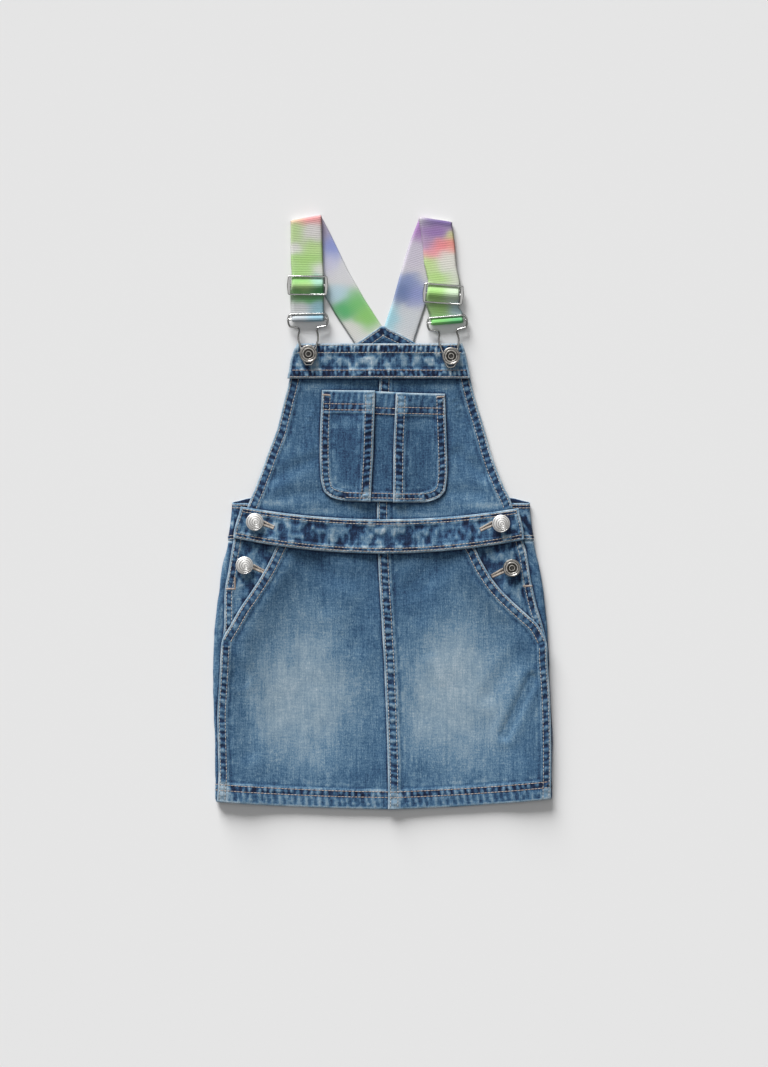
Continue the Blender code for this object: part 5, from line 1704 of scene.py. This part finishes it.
PANELS = [
    Panel("back_bib", BACK_BIB, spacing=1.3, slot="denim_dark", seed=3, covered_by=("bib_band",),
          turns=[Turn(Edge.LEFT, **ARMHOLE), Turn(Edge.RIGHT, **ARMHOLE)]),
    Panel("hip_panel_left", HIP_LEFT, slot="denim_dark", seed=4, mottle=0.48, depth=0.2, cord=2.0,
          covered_by=("front_waistband", "front_skirt_left"), holes=[Hole(-117.0, -49.0, -107.4, -53.6)],
          turns=[Turn(Edge.LEFT, 7.8, (2.0, 6.6), Thread.STONE, 0.8, 6.4)]),
    Panel("hip_panel_right", HIP_RIGHT, slot="denim_dark", seed=5, mottle=0.48, depth=0.2, cord=2.2,
          covered_by=("front_waistband", "front_skirt_right"), holes=[Hole(108.6, -52.6, 98.4, -57.6)],
          turns=[Turn(Edge.RIGHT, 7.8, (2.0, 6.6), Thread.STONE, 0.8, 6.4)]),
    Panel("front_skirt_left", FRONT_SKIRT_LEFT, seed=6, billow=1.7,
          covered_by=("front_waistband", "front_skirt_right"),
          turns=[Turn(Edge.LEFT, stop=-117.0, **SIDE), Turn(Edge.LEFT, start=-116.0, **MOUTH),
                 Turn(Edge.BOTTOM, **HEM)],
          creases=[Crease(-139.0, -96.0, -128.0, -150.0, 6.0, 0.9),
                   Crease(-85.0, -38.0, -30.0, -62.0, 9.0, 0.6),
                   Crease(-128.0, -150.0, -120.0, -215.0, 9.0, 0.7),
                   Crease(-60.0, -40.0, -52.0, -84.0, 8.0, 0.4),
                   Crease(-16.0, -60.0, -22.0, -120.0, 9.0, 0.4)],
          fades=[Fade(-72.0, -164.0, 62.0, 82.0, 0.72), Fade(-6.0, -252.0, 7.0, 6.0, 0.45)],
          patches=[Fade(-145.0, -254.0, 7.0, 13.0, 0.78)]),
    Panel("front_skirt_right", FRONT_SKIRT_RIGHT, seed=7, billow=1.7, covered_by=("front_waistband",),
          turns=[Turn(Edge.LEFT, **LAP), Turn(Edge.RIGHT, stop=-118.0, **SIDE),
                 Turn(Edge.RIGHT, start=-117.0, **MOUTH), Turn(Edge.BOTTOM, **HEM)],
          creases=[Crease(134.0, -150.0, 110.0, -200.0, 5.0, 1.1),
                   Crease(64.0, -40.0, 24.0, -70.0, 9.0, 0.6),
                   Crease(122.0, -128.0, 96.0, -164.0, 8.0, 0.5),
                   Crease(40.0, -44.0, 34.0, -92.0, 8.0, 0.4)],
          fades=[Fade(68.0, -164.0, 61.0, 82.0, 0.74)],
          patches=[Fade(9.5, -260.0, 5.8, 12.0, 0.6), Fade(148.0, -256.0, 5.0, 9.0, 0.55)]),
    Panel("bib_left", BIB_LEFT, seed=8,
          covered_by=("bib_band", "front_waistband", "bib_right", "bib_pocket_left", "bib_pocket_centre"),
          turns=[Turn(Edge.LEFT, **ARMHOLE)],
          creases=[Crease(-100.0, 30.0, -62.0, 48.0, 6.0, 0.6),
                   Crease(-92.0, 14.0, -40.0, 20.0, 6.0, 0.5),
                   Crease(-76.0, 100.0, -70.0, 60.0, 7.0, 0.4)],
          fades=[Fade(-50.0, 6.0, 70.0, 24.0, 0.12), Fade(-96.0, 8.0, 18.0, 3.2, 0.45),
                 Fade(-60.0, 1.0, 20.0, 3.0, 0.35), Fade(-62.0, 112.0, 14.0, 4.0, 0.3)]),
    Panel("bib_right", BIB_RIGHT, seed=9,
          covered_by=("bib_band", "front_waistband", "bib_pocket_right", "bib_pocket_centre"),
          turns=[Turn(Edge.LEFT, **LAP), Turn(Edge.RIGHT, **ARMHOLE)],
          creases=[Crease(92.0, 34.0, 66.0, 52.0, 6.0, 0.6), Crease(84.0, 16.0, 36.0, 20.0, 6.0, 0.5),
                   Crease(70.0, 96.0, 72.0, 58.0, 7.0, 0.4)],
          fades=[Fade(50.0, 6.0, 70.0, 24.0, 0.18), Fade(92.0, 6.0, 20.0, 3.2, 0.45),
                 Fade(40.0, -3.0, 22.0, 3.0, 0.35), Fade(52.0, 112.0, 16.0, 4.0, 0.25)]),
    Panel("bib_pocket_centre", POCKET_CENTRE, seed=10, spacing=0.9,
          covered_by=("bib_pocket_left", "bib_pocket_right"),
          fades=[Fade(0.0, 50.0, 60.0, 60.0, -0.14)],
          turns=[Turn(Edge.TOP, 20.5, (14.9, 20.2), Thread.COPPER, 0.7, 5.6),
                 Turn(Edge.BOTTOM, 8.4, (3.4, 7.6), Thread.COPPER, 0.8, 4.6)]),
    Panel("bib_pocket_left", POCKET_LEFT, seed=11, spacing=0.9,
          fades=[Fade(-32.0, 56.0, 60.0, 70.0, -0.22), Fade(-46.0, 36.0, 6.0, 20.0, 0.35),
                 Fade(-40.0, 17.0, 11.0, 7.0, 0.3), Fade(-34.0, 79.0, 24.0, 4.5, 0.28)],
          patches=[Fade(-14.0, 14.0, 4.6, 7.0, 0.5), Fade(-12.0, 99.0, 4.6, 11.0, 0.45)],
          turns=[Turn(Edge.TOP, 20.5, (12.4, 17.8), Thread.COPPER, 0.7, 5.6),
                 Turn(Edge.LEFT, 9.0, (2.0, 7.6), Thread.STONE, 1.0, 5.4), Turn(Edge.RIGHT, **FELL),
                 Turn(Edge.BOTTOM, 8.4, (3.2, 7.6), Thread.COPPER, 0.8, 4.6, start=-40.0)]),
    Panel("bib_pocket_right", POCKET_RIGHT, seed=12, spacing=0.9,
          fades=[Fade(34.0, 56.0, 60.0, 70.0, -0.16), Fade(42.0, 15.0, 10.0, 7.0, 0.32),
                 Fade(34.0, 78.0, 24.0, 4.5, 0.25), Fade(47.0, 36.0, 5.0, 16.0, 0.2)],
          patches=[Fade(13.0, 14.0, 4.2, 6.0, 0.5), Fade(16.0, 97.0, 4.6, 10.0, 0.4)],
          turns=[Turn(Edge.TOP, 20.5, (13.2, 18.6), Thread.COPPER, 0.7, 5.6),
                 Turn(Edge.RIGHT, 9.0, (2.0, 7.6), Thread.STONE, 1.0, 5.4), Turn(Edge.LEFT, **FELL),
                 Turn(Edge.BOTTOM, 8.4, (3.2, 7.6), Thread.COPPER, 0.8, 4.6, stop=42.0)]),
    Panel("bib_band", BIB_BAND, thickness=1.7, spacing=0.85, slot="denim_dark", seed=13, mottle=0.60,
          depth=0.22, cord=2.0, fades=[Fade(-2.0, 133.0, 100.0, 10.0, 0.12)],
          turns=[Turn(Edge.TOP, 9.2, (1.5, 8.2), Thread.SAND, 1.05, 4.3),
                 Turn(Edge.BOTTOM, 8.4, (1.5, 7.4), Thread.COPPER, 1.0, 4.3)]),
    Panel("front_waistband", FRONT_WAISTBAND, thickness=1.9, spacing=0.9, slot="denim_dark", seed=14,
          mottle=0.60, depth=0.34, cord=2.2, worn=0.70,
          holes=[Hole(-107.8, -10.0, -98.4, -13.8), Hole(98.8, -10.4, 87.8, -15.8)],
          fades=[Fade(64.0, -14.0, 40.0, 40.0, -0.24), Fade(-50.0, -14.0, 22.0, 30.0, -0.14),
                 Fade(0.0, -22.0, 26.0, 22.0, 0.14)],
          turns=[Turn(Edge.TOP, 6.0, (1.9, 4.4), Thread.SAND, 0.5, 5.6),
                 Turn(Edge.BOTTOM, 6.4, (2.0, 4.7), Thread.SAND, 0.5, 5.6),
                 Turn(Edge.LEFT, 4.4, (2.6,), Thread.STONE, 0.4, 6.0),
                 Turn(Edge.RIGHT, 4.4, (2.6,), Thread.STONE, 0.4, 6.0)]),
]

WRAPS = [
    Wrap("back_skirt", BACK_SKIRT, "denim", 60, (10.8, 15.9), (), Thread.COPPER, 17.4,
         ("hip_panel_left", "hip_panel_right", "front_skirt_left", "front_skirt_right"), 0.22,
         creases=[Crease(-96.0, -60.0, -40.0, -104.0, 9.0, 0.7),
                  Crease(88.0, -70.0, 46.0, -130.0, 10.0, 0.7),
                  Crease(-60.0, -150.0, -20.0, -236.0, 10.0, 0.6),
                  Crease(20.0, -120.0, 74.0, -170.0, 9.0, 0.6)],
         fades=[Fade(-146.0, -120.0, 9.0, 70.0, 0.25), Fade(-143.0, -46.0, 7.0, 10.0, 0.35),
                Fade(130.0, -44.0, 8.0, 10.0, 0.5), Fade(-153.0, -254.0, 5.0, 14.0, 0.8)]),
    Wrap("back_waistband", BACK_WAISTBAND, "denim_dark", 70, (2.0, 4.7), (1.9, 4.4), Thread.SAND, 6.0,
         ("hip_panel_left", "hip_panel_right", "front_waistband", "bib_left", "bib_right"), 0.75,
         creases=[Crease(-80.0, -20.0, -66.0, 2.0, 5.0, 0.5), Crease(60.0, -18.0, 72.0, 4.0, 5.0, 0.5)],
         fades=[Fade(-136.0, -8.0, 5.0, 8.0, 0.6), Fade(130.0, -6.0, 8.0, 14.0, -0.3)], corner=4.6),
]

WEB_Z = 0.65


def both_legs(front: Sequence[tuple], back: Sequence[tuple]) -> list[Dye]:
    """Give a strap's patches of dye: those of its front leg, and then those of its back leg."""
    return [Dye(Leg.FRONT, *patch) for patch in front] + [Dye(Leg.BACK, *patch) for patch in back]


STRAPS = [
    Strap(
        "strap_left",
        back=[Station(-21.5, 144.0, -0.5, 157.5, WEB_Z), Station(-26.3, 152.7, -0.4, 166.8, WEB_Z),
              Station(-43.0, 178.0, -16.8, 192.4, WEB_Z), Station(-57.6, 203.4, -31.2, 217.6, WEB_Z),
              Station(-74.2, 238.0, -47.9, 252.2, WEB_Z)],
        fold=Station(-83.2, 260.6, -55.2, 265.8, WEB_Z),
        front=[Station(-83.2, 250.0, -54.9, 252.0, 4.2), Station(-83.2, 238.0, -54.4, 239.0, 3.6),
               Station(-83.1, 224.0, -53.9, 224.4, 3.7)],
        slider=Place(-67.9, 203.9, -0.8),
        hook=Place(-67.7, 178.4, 1.0),
        dyes=both_legs(
            front=[(-66.3, 263.5, 13, 4, (220, 126, 128)), (-77.6, 252.5, 6, 9, (172, 203, 132)),
                   (-62.6, 252.5, 9, 8, (206, 202, 200)), (-78.2, 236.9, 5, 4, (211, 207, 208)),
                   (-62.6, 238.8, 8, 6, (168, 203, 124)), (-68.8, 227.5, 14, 6, (152, 197, 106)),
                   (-57.0, 220.0, 5, 4, (204, 206, 200)), (-75.0, 217.5, 9, 5, (152, 198, 112)),
                   (-74.0, 208.4, 10, 4, (108, 172, 82)), (-58.0, 208.0, 5, 4, (140, 188, 172)),
                   (-72.0, 203.7, 9, 3, (162, 200, 122)), (-57.0, 199.6, 7, 4, (48, 150, 74)),
                   (-75.0, 198.0, 8, 3, (96, 168, 78)), (-65.0, 191.4, 13, 3, (80, 164, 82)),
                   (-76.0, 183.7, 9, 5, (200, 203, 204)), (-59.0, 183.7, 7, 6, (134, 184, 198)),
                   (-76.0, 174.0, 9, 5, (168, 176, 182)), (-61.0, 174.0, 8, 5, (112, 158, 178))],
            back=[(-55.0, 254.0, 8, 9, (150, 140, 166)), (-46.4, 238.8, 8, 9, (120, 135, 198)),
                  (-47.5, 225.0, 7, 8, (188, 188, 212)), (-36.3, 216.0, 10, 9, (202, 202, 206)),
                  (-41.5, 196.0, 9, 6, (168, 198, 210)), (-35.1, 182.0, 8, 7, (48, 158, 86)),
                  (-24.0, 189.0, 8, 8, (98, 178, 92)), (-15.0, 176.5, 9, 8, (118, 186, 84)),
                  (-29.0, 163.6, 8, 6, (204, 204, 198))],
        ),
    ),
    Strap(
        "strap_right",
        back=[Station(0.5, 157.5, 26.6, 147.5, WEB_Z), Station(1.0, 166.8, 29.6, 158.4, WEB_Z),
              Station(9.0, 191.0, 37.6, 182.4, WEB_Z), Station(16.4, 218.0, 45.2, 210.0, WEB_Z),
              Station(24.0, 243.0, 52.8, 235.4, WEB_Z)],
        fold=Station(32.2, 263.8, 62.2, 259.2, WEB_Z),
        front=[Station(34.2, 252.0, 63.8, 249.4, 4.2), Station(35.6, 240.0, 65.2, 238.0, 3.6),
               Station(36.8, 224.0, 66.4, 221.6, 3.7)],
        slider=Place(54.2, 196.2, -4.6),
        hook=Place(57.4, 176.0, 4.8),
        dyes=both_legs(
            front=[(53.0, 261.5, 12, 3.5, (78, 50, 120)), (46.3, 252.8, 12, 5, (140, 102, 168)),
                   (39.0, 242.5, 6, 7, (168, 140, 178)), (52.6, 240.0, 9, 5, (232, 126, 132)),
                   (63.0, 241.5, 5, 6, (236, 150, 132)), (44.0, 232.8, 8, 4, (230, 142, 152)),
                   (61.4, 249.0, 4, 3, (200, 212, 142)), (59.0, 227.0, 9, 7, (212, 210, 200)),
                   (41.5, 222.5, 7, 6, (176, 206, 126)), (48.8, 211.4, 12, 4, (166, 206, 116)),
                   (62.6, 214.0, 6, 5, (202, 206, 192)), (46.5, 196.5, 9, 6, (138, 192, 92)),
                   (63.8, 197.0, 6, 5, (182, 204, 172)), (48.8, 183.0, 9, 5, (142, 194, 104)),
                   (67.0, 184.0, 6, 5, (166, 198, 204)), (48.8, 171.4, 10, 5, (92, 176, 74)),
                   (67.0, 170.2, 9, 5, (46, 158, 84))],
            back=[(32.5, 254.5, 8, 9, (146, 98, 164)), (27.5, 232.5, 11, 11, (187, 180, 196)),
                  (17.5, 199.0, 8, 9, (78, 102, 152)), (30.0, 196.0, 8, 8, (124, 134, 186)),
                  (22.5, 209.0, 8, 5, (118, 134, 178)), (6.5, 175.5, 7, 9, (138, 190, 204)),
                  (22.5, 173.0, 9, 10, (190, 195, 200))],
        ),
    ),
]

BUTTONS = [
    Button("button_waist_left", -115.0, -9.0, DOMED, "bright_button", 1.5),
    Button("button_hip_left", -124.4, -48.0, DOMED, "bright_button", 1.6),
    Button("button_waist_right", 106.0, -10.5, DOMED, "bright_button", 1.2),
    Button("button_hip_right", 115.8, -50.4, HOLLOW, "dark_button"),
    Button("button_bib_left", -67.0, 142.0, HOLLOW, "dark_button"),
    Button("button_bib_right", 61.2, 140.0, HOLLOW, "dark_button"),
]


class Bar(NamedTuple):
    """A bar of close stitches: its two ends, its stitches' length, and the panel that it is on."""

    start_x: float
    start_y: float
    end_x: float
    end_y: float
    width: float
    panel: str


BARS = [
    Bar(-141.0, -69.2, -133.6, -69.2, 1.8, "hip_panel_left"),
    Bar(-133.2, -69.6, -133.2, -58.6, 1.6, "hip_panel_left"),
    Bar(126.2, -66.8, 134.0, -66.4, 1.8, "hip_panel_right"),
    Bar(-54.2, 105.6, -48.0, 105.0, 1.6, "bib_pocket_left"),
    Bar(49.0, 103.6, 55.2, 103.8, 1.6, "bib_pocket_right"),
]


def make_finishes() -> dict[str, bpy.types.Material]:
    """Make the materials of the cloth, the webbing and the metal, by slot."""
    return {
        "denim": Denim("washed_denim").make(),
        "denim_dark": Denim("washed_denim_bands", -0.04).make(),
        "webbing": Webbing("dyed_webbing").make(),
        "hardware": Metal("polished_steel", (0.44, 0.44, 0.43), 0.15).make(),
        "bright_button": Metal("bright_plate", (0.78, 0.77, 0.75), 0.40, 0.0, 0.03, 0.55).make(),
        "dark_button": Metal("aged_plate", (0.46, 0.44, 0.41), 0.32, 0.8).make(),
    }


def lay_cloth(bench: Workbench, stitching: Stitching, finishes: dict, threads: dict) -> None:
    """Lay the back pieces and the panels in order, and sew each of them.

    Args:
        bench: The workbench, with the straps on it.
        stitching: The sewing thread.
        finishes: The materials by slot.
        threads: The materials by thread.
    """
    by_name = {panel.name: panel for panel in PANELS}
    for piece in [PANELS[0], *WRAPS, *PANELS[1:]]:
        thing = piece.build(bench, by_name)
        piece.sew(stitching)
        for bar in BARS:
            if bar.panel == piece.name:
                stitching.bar(bar[:2], bar[2:4], bar.width, Thread.COPPER)
        sewn = stitching.finish(piece.name, piece.slot, threads)
        Workbench.dress(thing, finishes[piece.slot], piece.slot, [piece.name])
        width, length, area = piece.cut()


def main() -> None:
    """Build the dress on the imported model, from the surface upwards, and the studio round it."""
    logging.basicConfig(level=logging.INFO, format="%(message)s")
    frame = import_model()
    Studio().build()
    finishes = make_finishes()
    threads = {thread: Sewn(thread).make() for thread in Thread}
    bench = Workbench(frame["nodes"])
    for strap in STRAPS:
        thing = strap.build(bench)
        Workbench.dress(thing, finishes["webbing"], "webbing", [strap.name])
        strap.cut()
    lay_cloth(bench, Stitching(bench), finishes, threads)
    wire_tops = {}
    for strap in STRAPS:
        side = strap.name.removeprefix("strap_")
        frame_piece = Slider("slider_" + side, strap.slider).build()
        Workbench.dress(frame_piece, finishes["hardware"], "hardware", ["slider_" + side])
        parts, top = Hook("hook_" + side, strap.hook).build(bench)
        for part in parts:
            Workbench.dress(part, finishes["hardware"], "hardware", ["hook_" + side])
        wire_tops["button_bib_" + side] = top
    for button in BUTTONS:
        thing = button.build(wire_tops.get(button.name, 0.0))
        Workbench.dress(thing, finishes[button.slot], button.slot, [button.name])


if __name__ == "__main__":
    main()
